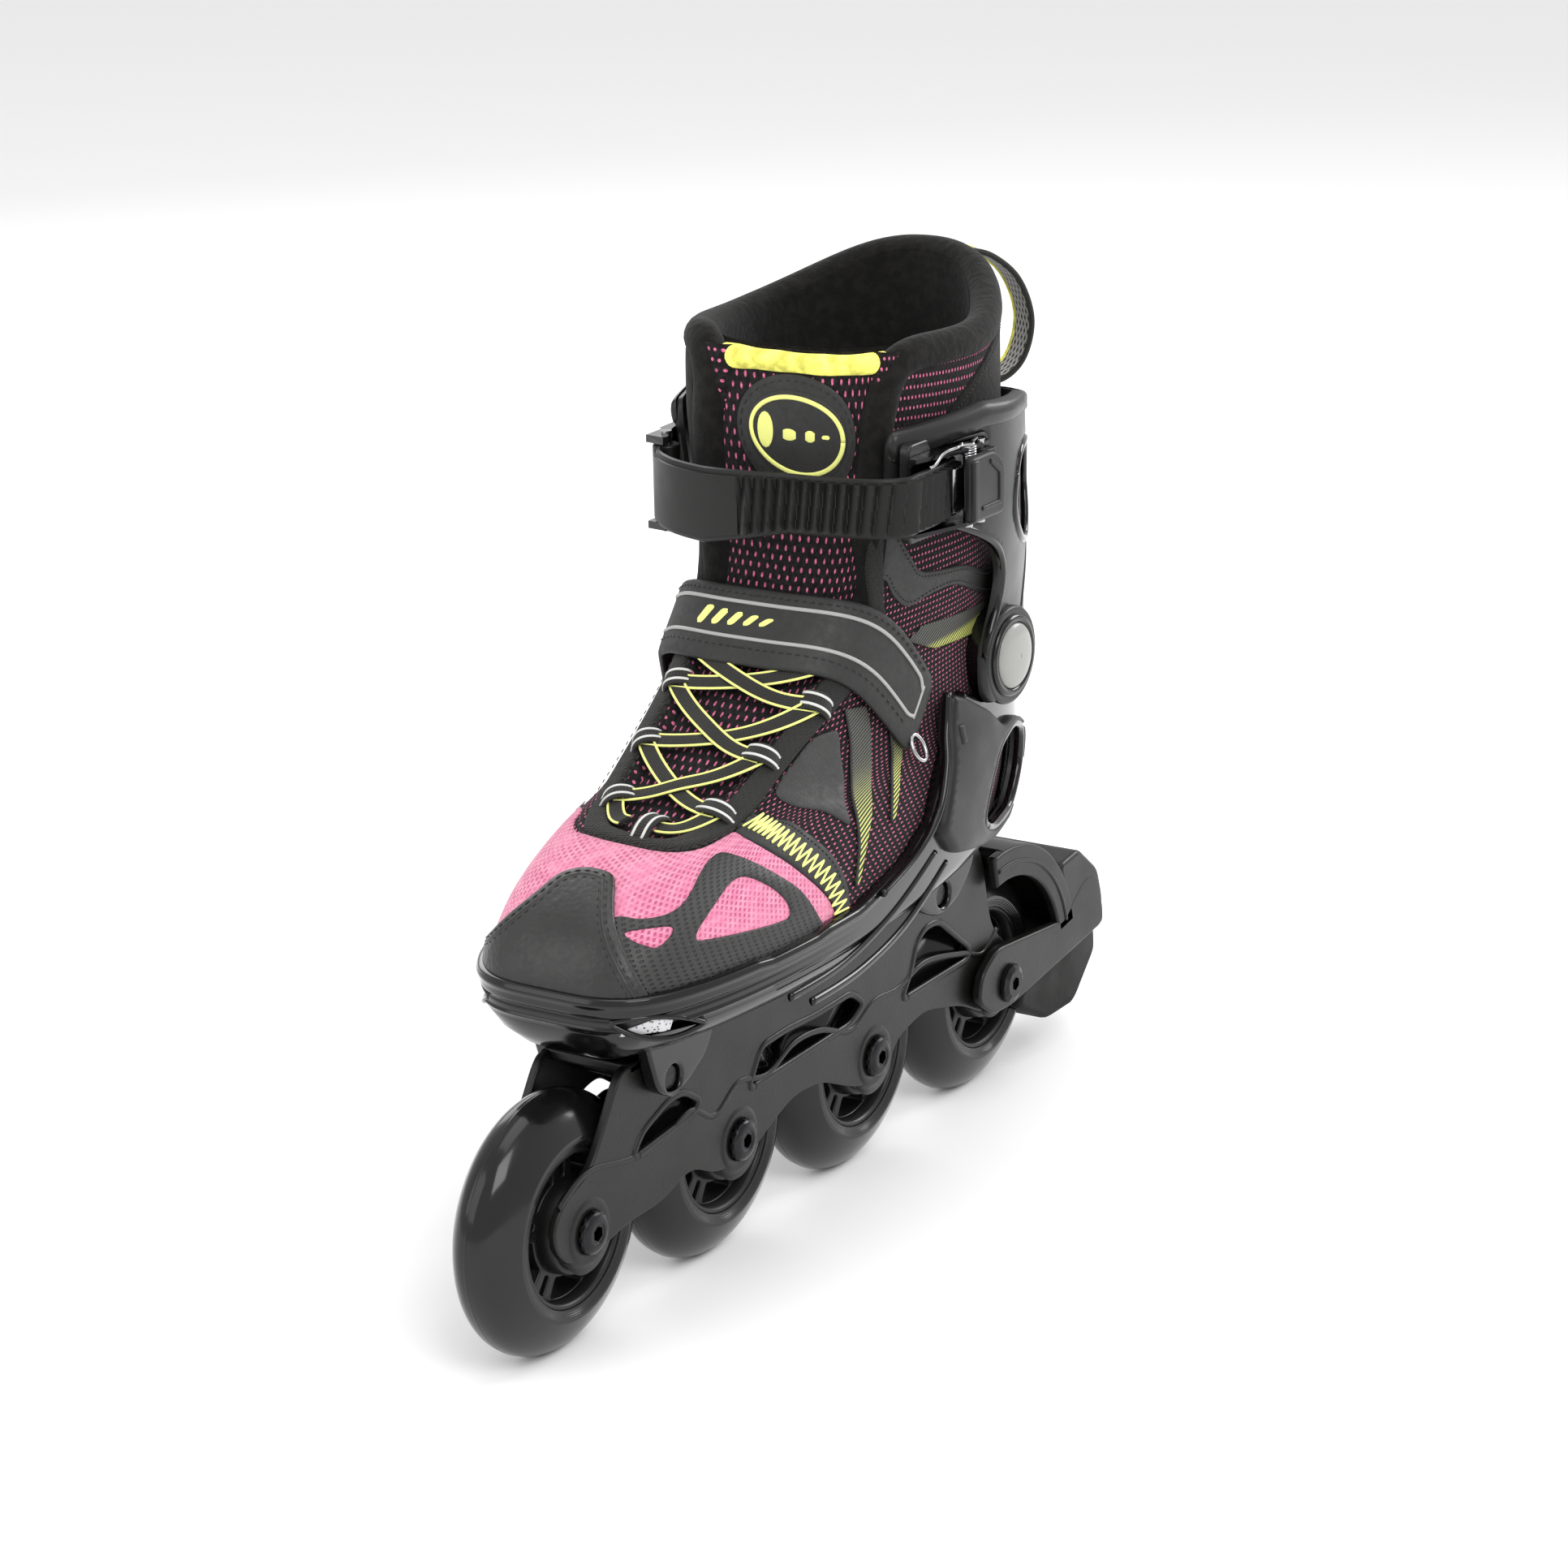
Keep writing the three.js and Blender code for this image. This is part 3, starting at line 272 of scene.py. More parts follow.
def turned(name, profile, centre, material, segments=144):
    """A closed profile of (radius, y) turned about a line along Y through the centre (x, z)."""
    r, y = np.asarray(profile, float).T
    a = np.linspace(0, 2 * np.pi, segments, endpoint=False)[:, None]
    points = np.stack([centre[0] + r * np.cos(a), y + 0 * a, centre[1] + r * np.sin(a)], -1).reshape(-1, 3)
    return build(name, points, quads(segments, len(r), True, True)[:, ::-1], material)


def move_points(mesh, rule):
    """Moves a mesh's points by a rule that takes and gives an array of (x, y, z)."""
    co = np.empty(len(mesh.vertices) * 3)
    mesh.vertices.foreach_get("co", co)
    mesh.vertices.foreach_set("co", rule(co.reshape(-1, 3)).ravel())


def weld_doubles(obj):
    """Joins points less than 0.02 mm apart."""
    weld = obj.modifiers.new("weld", "WELD")
    weld.merge_threshold = 0.00002


def facing(profile, sign):
    """The profile for the left side, and its order turned round for the right, so faces point outwards."""
    return profile if sign > 0 else profile[::-1]


def plate(name, loops, low, high, edge, material, segments=3):
    """A flat plate in the (x, z) plane from y = low to y = high, with holes and rounded edges."""
    curve = bpy.data.curves.new(name, "CURVE")
    curve.dimensions = "2D"
    curve.fill_mode = "BOTH"
    curve.extrude = (high - low) / 2 - edge
    curve.bevel_depth = edge
    curve.bevel_resolution = segments
    curve.offset = -edge
    for loop in loops:
        spline = curve.splines.new("POLY")
        spline.points.add(len(loop) - 1)
        flat = np.column_stack([loop, np.zeros(len(loop)), np.ones(len(loop))])
        spline.points.foreach_set("co", flat.ravel())
        spline.use_cyclic_u = True
    shape = set_down(name, curve)
    bpy.context.view_layer.update()
    mesh = bpy.data.meshes.new_from_object(shape)
    bpy.data.objects.remove(shape)
    depth_mm = (low + high) / 2
    move_points(mesh, lambda p: (np.stack([p[:, 0], depth_mm - p[:, 2], p[:, 1]], -1) + SHIFT) / 1000)
    mesh.materials.append(material)
    mesh.shade_smooth()
    obj = set_down(name, mesh)
    weld_doubles(obj)
    normal = obj.modifiers.new("normals", "WEIGHTED_NORMAL")
    normal.keep_sharp = True
    return obj


def fillet(points, radius, steps=5):
    """The polygon with each corner rounded: a quadratic arc between the points one radius before and after
    it."""
    p = np.asarray(points, float)
    before, after = np.roll(p, 1, 0) - p, np.roll(p, -1, 0) - p
    lb, la = np.linalg.norm(before, axis=1)[:, None], np.linalg.norm(after, axis=1)[:, None]
    a = p + before / lb * np.minimum(radius, lb * 0.45)
    b = p + after / la * np.minimum(radius, la * 0.45)
    t = np.linspace(0, 1, steps)[None, :, None]
    return ((1 - t) ** 2 * a[:, None] + 2 * t * (1 - t) * p[:, None] + t**2 * b[:, None]).reshape(-1, 2)


def circle(x, z, r, n=48):
    """n points round a circle in the (x, z) plane."""
    a = np.linspace(0, 2 * np.pi, n, endpoint=False)
    return np.stack([x + r * np.cos(a), z + r * np.sin(a)], -1)


urethane = Shader("smoky_urethane", (0.006, 0.006, 0.006), 0.16, Coat_Weight=0.15, Coat_Roughness=0.05,
                  Specular_IOR_Level=0.32)
urethane.set("Roughness", urethane.spread(urethane.noise(60, 5), 0.35, 0.7, 0.13, 0.24))
urethane.bump(urethane.noise(260, 3), 0.015)
core_nylon = moulded("core_nylon", (0.007, 0.007, 0.007), 0.38, grain=0.02)


def tyre_profile():
    """The crown is an ellipse to the power 2.2, the sides fall in a soft hollow to the core, and six fine
    rings and a moulding line are raised on it."""
    y = np.linspace(-1, 1, 65)
    crown = 40 - 12.5 * np.abs(y) ** 2.4
    crown = crown + 0.12 * np.exp(-((y / 0.012) ** 2))
    side_r = np.linspace(27.5, 24.45, 22)[1:]
    side_y = 11.8 - 0.9 * np.sin(np.linspace(0, np.pi, 22)[1:] * 0.5) ** 2
    side_y = side_y + 0.08 * np.sin(side_r * 2 * np.pi / 0.55)
    right = np.stack([side_r, side_y], -1)
    middle = np.stack([crown, y * 11.8], -1)
    left = np.stack([side_r[::-1], -side_y[::-1]], -1)
    return np.vstack([left, middle, right])


def core_loops(x):
    """The core's rim and bearing seat, with five pairs of thin spokes between rounded openings."""
    loops = [circle(x, WHEEL_R, 24.3, 96), circle(x, WHEEL_R, 11.1)]
    for k in range(5):
        mid = np.radians(72 * k + 18)
        wide = np.radians(np.linspace(16.5, 55.5, 9))
        inner = np.stack([15.6 + 0 * wide, mid + wide], -1)
        outer = np.stack([21.7 + 0 * wide, mid + np.radians(np.linspace(58, 14, 9))], -1)
        slot = np.array([[15.6, mid - 0.07], [21.2, mid - 0.06], [21.2, mid + 0.06], [15.6, mid + 0.07]])
        for polar, soft in ((np.vstack([inner, outer]), 1.6), (slot, 0.9)):
            flat = np.stack([x + polar[:, 0] * np.cos(polar[:, 1]),
                             WHEEL_R + polar[:, 0] * np.sin(polar[:, 1])], -1)
            loops.append(fillet(flat, soft, 4))
    return loops


def fasten(pieces, body):
    """Pieces that move as one with a body."""
    for piece in pieces:
        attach(piece, body)


for k, x in enumerate(AXLES, 1):
    tyre = turned(f"tyre_{k}", tyre_profile(), (x, WHEEL_R), urethane.mat)
    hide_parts(f"wheel_{k}_tyre")
    fasten([tyre], f"wheel_{k}")
    core = plate(f"core_{k}", core_loops(x), -6.6, 6.6, 0.7, core_nylon)
    seat = [(11.05, 4.9), (11.05, 11.8), (11.5, 12.2), (13, 12.2), (13.6, 11.6), (14.4, 6.2), (14.4, -6.2),
            (13.6, -11.6), (13, -12.2), (11.5, -12.2), (11.05, -11.8), (11.05, -4.9)]
    rim = [(21.9, 6.2), (22.6, 9.6), (23.2, 10.4), (24.4, 10.6), (24.4, -10.6), (23.2, -10.4),
           (22.6, -9.6), (21.9, -6.2)]
    seat_ring = turned(f"core_seat_{k}", seat, (x, WHEEL_R), core_nylon, 72)
    rim_ring = turned(f"core_rim_{k}", rim, (x, WHEEL_R), core_nylon, 96)
    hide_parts(f"wheel_{k}_hub")
    fasten((core, seat_ring, rim_ring), f"wheel_{k}")

# ---------------------------------------------------------------- boot skin
# The soft boot: black knit with raised pink dots over foam. Rings from the sole up to the collar give its
# form. Each row is the height share, the front point (x, z), the back point (x, z), the half-widths at ball,
# middle and heel, and how far the ring lies to the outer side.
BOOT_RINGS = np.array([
    [0.0, 117, 101, -128, 105, 45, 41, 36, 0],
    [0.1, 118.5, 114, -132, 118, 46, 42, 38, 0],
    [0.2, 110, 128, -133, 132, 43, 41.5, 39, 0],
    [0.3, 90, 138.5, -133, 146, 39, 40.5, 39.5, -1.5],
    [0.4, 61, 145, -132, 158, 37.5, 39, 38.5, -3],
    [0.5, 34, 158, -130.5, 172, 36.5, 38.5, 38, -4],
    [0.6, 9, 174, -129, 186, 36.5, 38.5, 38, -5],
    [0.7, -9, 192, -127, 202, 38, 40, 38, -5],
    [0.8, -16, 214, -124, 222, 40, 42, 39, -5],
    [0.9, -17, 244, -121, 252, 43, 44, 40.5, -6],
    [1.0, -18, 273, -121, 289, 45, 45, 41, -7],
])
WIDEST = np.array([0, 0.25, 0.55, 0.85, 1.0])


def through(keys, rows, t):
    """Values at t from rows at rising keys: cubic spans whose slopes are those of the neighbours' chord."""
    keys, rows, t = np.asarray(keys, float), np.asarray(rows, float), np.asarray(t, float)
    i = np.clip(np.searchsorted(keys, t, side="right") - 1, 0, len(keys) - 2)
    before, after, last = np.clip(i - 1, 0, None), i + 1, np.clip(i + 2, None, len(keys) - 1)
    span = keys[after] - keys[i]
    u = ((t - keys[i]) / span)[..., None]
    span = span[..., None]
    slope_a = (rows[after] - rows[before]) / (keys[after] - keys[before])[..., None] * span
    slope_b = (rows[last] - rows[i]) / (keys[last] - keys[i])[..., None] * span
    h = (2 * u**3 - 3 * u**2 + 1) * rows[i] + (u**3 - 2 * u**2 + u) * slope_a
    return h + (3 * u**2 - 2 * u**3) * rows[after] + (u**3 - u**2) * slope_b


def ring_point(tau, v, off=0.0):
    """The point at height share v and turn tau, grown outwards by off. The angle round the ring is tau
    squared (0 at the toe, a half turn at the heel). x runs from front to back with its cosine, and y is the
    half-width there times its sine to a power that is squarer at the toe than at the heel."""
    tau, v, off = np.broadcast_arrays(*(np.asarray(a, float) for a in (tau, v, off)))
    fx, fz, bx, bz, ball, middle, heel, shift = np.moveaxis(through(BOOT_RINGS[:, 0], BOOT_RINGS[:, 1:], v),
                                                            -1, 0)
    phi = tau**2
    s = (1 - np.cos(phi)) / 2
    x = fx + off + (bx - fx - 2 * off) * s
    half = np.zeros_like(s)
    for width, peak in ((ball, [1, 1, 0, 0, 0]), (middle, [0, 0, 1, 0, 0]), (heel, [0, 0, 0, 1, 1])):
        half = half + width * through(WIDEST, np.array(peak, float)[:, None], s)[..., 0]
    power = 0.5 + 0.4 * s
    y = (half + off) * np.sign(tau) * np.abs(np.sin(phi)) ** power
    sag = 9 * np.clip((v - 0.8) / 0.2, 0, 1.2) * np.sin(np.pi * np.clip(s, 0, 1) ** 1.3)
    return np.stack([x, y + shift + 3.5 * np.maximum(0, x / 120) ** 2, fz + (bz - fz) * s - sag], -1)


def on_boot(tau, v, off=0.0):
    """The point on the boot surface, lifted off along the surface's normal, and that normal."""
    tau, v = np.broadcast_arrays(np.asarray(tau, float), np.asarray(v, float))
    d = 0.004
    near = np.clip(tau, d - np.sqrt(np.pi), np.sqrt(np.pi) - d)
    across = ring_point(near + d, v) - ring_point(near - d, v)
    along = ring_point(tau, v + d) - ring_point(tau, v - d)
    normal = np.cross(across, along)
    normal /= np.linalg.norm(normal, axis=-1, keepdims=True)
    return ring_point(tau, v) + normal * np.asarray(off, float)[..., None], normal


def turn_of(degrees):
    """tau for an angle round the boot in degrees: the signed square root of the angle in radians."""
    degrees = np.asarray(degrees, float)
    return np.sign(degrees) * np.sqrt(np.radians(np.abs(degrees)))


def run_of(points):
    """How far along its path each point is: the sum of the steps before it."""
    return np.concatenate([[0], np.cumsum(np.linalg.norm(np.diff(points, axis=0), axis=1))])


ROUND_TAU = np.linspace(-np.sqrt(np.pi), np.sqrt(np.pi), 721)
ROUND_MM = run_of(ring_point(ROUND_TAU, 0.45))
ROUND_MM -= np.interp(0, ROUND_TAU, ROUND_MM)
UP_MM = 205.0


def unrolled(tau, v):
    """Millimetres round the boot from the toe line, and millimetres up from the sole."""
    return np.stack([np.interp(tau, ROUND_TAU, ROUND_MM), np.asarray(v, float) * UP_MM], -1)


def rolled(flat):
    """The turn and height share of unrolled points."""
    return np.interp(flat[..., 0], ROUND_MM, ROUND_TAU), flat[..., 1] / UP_MM


def marks(points):
    """Outline points given as (degrees round from the toe, per cent of height), unrolled to millimetres."""
    degrees, share = np.asarray(points, float).T
    return unrolled(turn_of(degrees), share / 100)


def grid_piece(name, taus, shares, off, material, flip=False):
    """A grid on the boot surface: taus across, shares of height up, lifted by off (a number or a grid)."""
    tau, v = np.meshgrid(taus, shares)
    points, _ = on_boot(tau, v, np.broadcast_to(off, tau.shape))
    faces = quads(len(shares), len(taus))
    uv = unrolled(tau, v).reshape(-1, 2) / 1000
    return build(name, points.reshape(-1, 3), faces[:, ::-1] if flip else faces, material, uv)


def follow_ankle(obj):
    """Soft pieces that cross the ankle bend from the foot to the cuff: their placement is baked into their
    points, and nothing here bends them.
    """
    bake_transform(obj)


def knit(name, pitch, dot, tilt=0.0, base=(0.007, 0.006, 0.0065), thread=(0.62, 0.13, 0.26), coords="UV"):
    """Black jersey with raised pink stitches in staggered rows. pitch and dot are (across, up) in
    millimetres."""
    s = Shader(name, base, 0.92, coords=coords, Sheen_Weight=0.06, Sheen_Roughness=0.5)
    s.set("Specular IOR Level", 0.15)
    u, w, _ = s.axes(tilt, (1000 / pitch[0], 1000 / pitch[1], 1))
    stagger = s.half_step(w)
    across = s.math("SUBTRACT", s.math("FRACT", s.math("ADD", u, stagger)), 0.5)
    up = s.math("SUBTRACT", s.math("FRACT", w), 0.5)
    wide = s.math("DIVIDE", across, dot[0] / pitch[0] / 2)
    tall = s.math("DIVIDE", up, dot[1] / pitch[1] / 2)
    far = s.length(wide, tall)
    wobble = s.math("MULTIPLY", s.math("SUBTRACT", s.noise(900, 2), 0.5), 0.9)
    mask = s.spread(s.math("ADD", far, wobble), 0.75, 1.15, 1.0, 0.0)
    fray = s.spread(s.noise(1500, 2), 0.3, 0.7)
    fabric = s.mix(s.spread(s.noise(700, 3), 0.35, 0.7), base, tuple(c * 2.6 for c in base))
    stitch = s.mix(fray, tuple(c * 0.55 for c in thread), tuple(min(1, c * 1.25 + 0.04) for c in thread))
    s.set("Base Color", s.mix(mask, fabric, stitch))
    s.bump(s.noise(850, 3), 0.12)
    s.bump(mask, 0.25)
    return s.mat


def fleece(name, color, pile=0.5):
    """Brushed fleece: a soft matte pile with clumps, and a faint light edge."""
    s = Shader(name, color, 0.95, Sheen_Weight=0.08, Sheen_Roughness=0.6)
    s.set("Specular IOR Level", 0.1)
    s.set("Base Color", s.mix(s.spread(s.noise(260, 5), 0.35, 0.7), tuple(c * 0.75 for c in color),
                              tuple(c * 1.5 for c in color)))
    s.bump(s.noise(420, 4), pile)
    s.bump(s.noise(1600, 2), 0.08)
    return s.mat


knit_black = knit("dotted_knit", (2.4, 2.25), (1.1, 0.85))
fleece_black = fleece("black_fleece", (0.0075, 0.007, 0.0065))
THROAT_LEFT = [(3, 37), (9, 38), (14, 41), (18, 44.5), (22, 48.5), (24.5, 53), (27.5, 57), (33, 61),
               (38, 66), (40, 72), (38, 76), (35, 80), (33.5, 85), (35, 91), (38, 96), (41, 101)]
THROAT_RIGHT = [(-2, 37), (-6, 38.5), (-9, 41), (-11, 45), (-12, 49.5), (-12.5, 55), (-14, 60), (-16, 66),
                (-18, 72), (-19, 78), (-19, 85), (-18, 90), (-12, 95), (-9, 98), (-9, 101)]


def throat_side(points, v):
    """The turn of one side of the throat at a height share, from its outline."""
    degrees, share = np.array(points, float).T
    return np.interp(np.asarray(v) * 100, share, turn_of(degrees))


def throat_depth(tau, v):
    """0 outside the opening over the instep, rising to 1 about 7 mm inside it."""
    here = unrolled(tau, v)[..., 0]
    left = unrolled(throat_side(THROAT_LEFT, v), v)[..., 0] - here
    right = here - unrolled(throat_side(THROAT_RIGHT, v), v)[..., 0]
    inside = np.minimum(np.minimum(left, right), (v - 0.372) * UP_MM)
    t = np.clip(inside / 7, 0, 1)
    return t * t * (3 - 2 * t)


skin_taus = np.interp(np.linspace(ROUND_MM[0], ROUND_MM[-1], 301), ROUND_MM, ROUND_TAU)
skin_shares = np.linspace(0.02, 1.0, 150)
tau_grid, share_grid = np.meshgrid(skin_taus, skin_shares)
skin = grid_piece("boot_skin", skin_taus, skin_shares, -5.5 * throat_depth(tau_grid, share_grid),
                  knit_black)
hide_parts("boot_upper", "boot_shaft")
follow_ankle(skin)


def lining_point(tau, t):
    """The lining goes from the collar's top, 9 mm inside the skin, down to the insole, where it draws
    in."""
    v = 1.0 - 0.93 * t
    off = -8.6 + 0.8 * np.sin(t * 9) * (1 - t)
    return ring_point(tau, v, off)


tau_in, t_in = np.meshgrid(skin_taus[::3], np.linspace(0, 1, 60))
lining = build("lining", lining_point(tau_in, t_in).reshape(-1, 3), quads(60, len(skin_taus[::3]))[:, ::-1],
               fleece_black)
follow_ankle(lining)


def insole_points():
    """A flat sheet: nested copies of the lowest ring drawn in to the middle line of the foot."""
    tau, k = np.meshgrid(skin_taus[::3], np.linspace(0.02, 1, 12))
    edge = ring_point(tau, 0.06, -8.4)
    middle = np.stack([np.clip(edge[..., 0], -95, 85), 0 * k + 0.5, 113.4 + 0 * k], -1)
    edge[..., 2] = 112.6
    return middle + (edge - middle) * k[..., None]


insole = build("insole_sheet", insole_points().reshape(-1, 3), quads(12, len(skin_taus[::3])), fleece_black)
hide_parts("insole")
fasten([insole], "chassis")


# ---------------------------------------------------------------- collar
# A thick padded roll of black fleece round the top of the boot, and down both sides of the opening.
def frames(path):
    """Unit tangents of a path of points."""
    along = np.gradient(path, axis=0)
    return along / np.linalg.norm(along, axis=1)[:, None]


def carried(name, path, out, profile, material, widths=1.0):
    """A profile of (side, height) carried along a path: side is square to the path and to the out
    direction. widths scales the profile along the path."""
    along = frames(path)
    out = out - along * (out * along).sum(1)[:, None]
    out /= np.linalg.norm(out, axis=1)[:, None]
    side = np.cross(along, out)
    prof = np.asarray(profile, float)
    size = np.broadcast_to(widths, (len(path),))[:, None, None]
    points = path[:, None] + size * (side[:, None] * prof[None, :, :1] + out[:, None] * prof[None, :, 1:])
    faces = quads(len(path), len(prof), False, True)
    points = points.reshape(-1, 3)
    lengths = run_of(path)
    reach = run_of(prof)
    uv = np.stack(np.broadcast_arrays(lengths[:, None], reach[None]), -1).reshape(-1, 2) / 1000
    n = len(prof)
    caps = [points[:n].mean(0), points[-n:].mean(0)]
    start, end = len(points), len(points) + 1
    points = np.vstack([points, caps])
    uv = np.vstack([uv, uv[:1], uv[-1:]])
    i, j = np.arange(n), (np.arange(n) + 1) % n
    first = np.stack([0 * i + start, j, i], -1)
    last_row = len(path) * n - n
    final = np.stack([0 * i + end, last_row + i, last_row + j], -1)
    tris = np.vstack([first, final])
    return build(name, points, faces.tolist() + tris.tolist(), material, uv)


def oval(wide, tall, n=16):
    """n points round an oval profile."""
    a = np.linspace(0, 2 * np.pi, n, endpoint=False)
    return np.stack([wide * np.cos(a), tall * np.sin(a)], -1)


COLLAR_OUTER = [(38, 64), (41, 70), (40, 76), (36.5, 81), (36.5, 86), (39, 92), (45, 97), (55, 99),
                (75, 99.5), (110, 99.5), (145, 99.5), (180, 99.5)]
COLLAR_INNER = [(-21, 64), (-22, 70), (-23, 76), (-23.5, 81), (-23.5, 86), (-22, 91), (-18.5, 96),
                (-26, 99.2), (-45, 99.5), (-75, 99.5), (-110, 99.5), (-145, 99.5), (-180, 99.5)]
collar_path = []
for collar_marks in (COLLAR_OUTER, COLLAR_INNER):
    tau, v = rolled(curve_through(marks(collar_marks), 10))
    collar_path.append(on_boot(tau, v, -3.6 + 0 * v))
collar_path[1] = tuple(part[::-1][1:] for part in collar_path[1])
path = np.vstack([collar_path[0][0], collar_path[1][0]])
outward = np.vstack([collar_path[0][1], collar_path[1][1]])
count = len(path)
share = np.linspace(0, 1, count)
swell = 0.62 + 0.38 * np.clip(np.sin(np.linspace(0, np.pi, count)) * 2.6, 0, 1)
swell = swell + 0.25 * np.clip((share - 0.6) / 0.2, 0, 1) * np.clip((1 - share) / 0.1, 0, 1)
roll = carried("collar_roll", path, outward, oval(5.6, 5.2, 20), fleece_black, swell)
follow_ankle(roll)


# ---------------------------------------------------------------- tongue
# The padded tongue behind the opening: knit with columns of pink stitches, a fleece-lined lime top edge
# that shows above it, and a sewn-on oval badge with a lime ring.
def inside(points, loop):
    """True for points in a closed loop: an odd number of its edges cross the line to their right."""
    a, b = loop, np.roll(loop, -1, 0)
    x, y = points[:, None, 0], points[:, None, 1]
    spans = (a[:, 1] > y) != (b[:, 1] > y)
    rise = np.where(b[:, 1] == a[:, 1], 1e-9, b[:, 1] - a[:, 1])
    return ((spans & (x < a[:, 0] + (y - a[:, 1]) * (b[:, 0] - a[:, 0]) / rise)).sum(1) % 2).astype(bool)


def margin(points, loops):
    """Each point's distance from the nearest edge of the loops."""
    best = np.full(len(points), 1e9)
    for loop in loops:
        d = np.roll(loop, -1, 0) - loop
        share = np.clip(((points[:, None] - loop) * d).sum(-1) / np.maximum((d * d).sum(-1), 1e-9), 0, 1)
        best = np.minimum(best, np.linalg.norm(points[:, None] - loop - share[..., None] * d,
                                               axis=-1).min(1))
    return best


def even(loop, step, closed=True):
    """The loop's points moved to even steps along it."""
    line = np.vstack([loop, loop[:1]]) if closed else np.asarray(loop, float)
    reach = run_of(line)
    at = np.linspace(0, reach[-1], max(4, int(reach[-1] / step)) + 1)
    made = np.stack([np.interp(at, reach, line[:, k]) for k in range(line.shape[1])], -1)
    return made[:-1] if closed else made


def boot_place(flat, off):
    """Unrolled points put on the boot, lifted off along its normal."""
    return on_boot(*rolled(flat), off)[0]


def patch(name, outline, material, off=0.15, lip=0.7, rim=0.8, holes=(), pitch=2.2, put=boot_place,
          puff=0.0):
    """A sewn-on panel. Its outline and holes, in unrolled millimetres, are filled with triangles. It stands
    off + lip above the skin, and over the last rim millimetres its edge rounds down through a quarter
    circle. puff crowns its middle: it grows with the root of the distance from the edge."""
    loops = [even(np.asarray(loop, float), 1.0) for loop in (outline, *holes)]
    spots = []
    for loop in loops:
        along = np.roll(loop, -1, 0) - np.roll(loop, 1, 0)
        square = np.stack([-along[:, 1], along[:, 0]], -1) / np.linalg.norm(along, axis=1)[:, None]
        for share in (0.12, 0.4, 1.0):
            for way in (1, -1):
                beside = loop + square * way * share * rim
                spots.append(beside[margin(beside, loops) > 0.93 * share * rim])
    low, high = loops[0].min(0), loops[0].max(0)
    gx, gy = np.meshgrid(np.arange(low[0], high[0], pitch), np.arange(low[1], high[1], pitch * 0.87))
    gx = gx + (np.arange(len(gx)) % 2)[:, None] * pitch / 2
    field = np.stack([gx.ravel(), gy.ravel()], -1)
    spots.append(field[margin(field, loops) > rim + 0.35 * pitch])
    rest = np.vstack(spots)
    ok = inside(rest, loops[0])
    for hole in loops[1:]:
        ok &= ~inside(rest, hole)
    flat = np.vstack([*loops, rest[ok]])
    edges, start = [], 0
    for loop in loops:
        n = len(loop)
        edges += [(start + i, start + (i + 1) % n) for i in range(n)]
        start += n
    made = delaunay_2d_cdt([tuple(p) for p in flat.tolist()], edges, [], 1, 1e-5)
    flat = np.array([tuple(p) for p in made[0]])
    faces = np.array([f for f in made[2] if len(f) == 3])
    centre = flat[faces].mean(1)
    ok = inside(centre, loops[0])
    for hole in loops[1:]:
        ok &= ~inside(centre, hole)
    faces = faces[ok]
    far = margin(flat, loops)
    t = np.clip(far / rim, 0, 1)
    lift = off + lip * np.sqrt(1 - (1 - t) ** 2) + puff * np.sqrt(np.clip(far - rim, 0, None) / 10)
    return build(name, put(flat, lift), faces, material, flat / 1000)


TONGUE_OFF, TONGUE_TOP = -1.6, 0.985


def tongue_point(side, v, off=0.0):
    """side runs from -1 to 1 between the throat's edges, v is the height share, and the sides tuck
    inwards."""
    left, right = throat_side(THROAT_LEFT, v), throat_side(THROAT_RIGHT, v)
    tau = (left + right) / 2 + side * (left - right) / 2 * 1.06
    return on_boot(tau, v, TONGUE_OFF - 2.2 * np.abs(side) ** 4 + off)[0], tau


side_grid, high_grid = np.meshgrid(np.linspace(-1, 1, 61), np.linspace(0.36, TONGUE_TOP, 120))
tongue_mm, tongue_tau = tongue_point(side_grid, high_grid)
tongue_uv = unrolled(tongue_tau, high_grid).reshape(-1, 2) / 1000
knit_tongue = knit("column_knit", (2.9, 2.6), (0.85, 1.5))
tongue_face = build("tongue_face", tongue_mm.reshape(-1, 3), quads(120, 61), knit_tongue, tongue_uv)
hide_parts("tongue", "tongue_top")
follow_ankle(tongue_face)

fleece_lime = fleece("lime_fleece", (0.86, 0.82, 0.15), 0.3)
edge_side = np.linspace(-0.97, 0.97, 70)
edge_line, edge_tau = tongue_point(edge_side, TONGUE_TOP + 0 * edge_side)
scallop = 1.06 + 0.16 * np.exp(-(((edge_side + 0.75) / 0.25) ** 2)) + 0.035 * np.sin(np.arange(70) * 0.31)
edge_out = on_boot(edge_tau, TONGUE_TOP + 0 * edge_tau)[1]
top_roll = carried("tongue_lime_edge", edge_line + [-1.2, 0, 0.6], edge_out, oval(3.1, 2.6, 18),
                   fleece_lime, scallop)
follow_ankle(top_roll)
back_mm = tongue_mm - on_boot(tongue_tau, high_grid)[1] * 5.0
tongue_back = build("tongue_lining", back_mm[50:].reshape(-1, 3), quads(70, 61)[:, ::-1], fleece_lime)
follow_ankle(tongue_back)


def tongue_place(flat, off):
    """Flat points put on the tongue's face."""
    tau, v = rolled(flat)
    return on_boot(tau, v, TONGUE_OFF + off)[0]


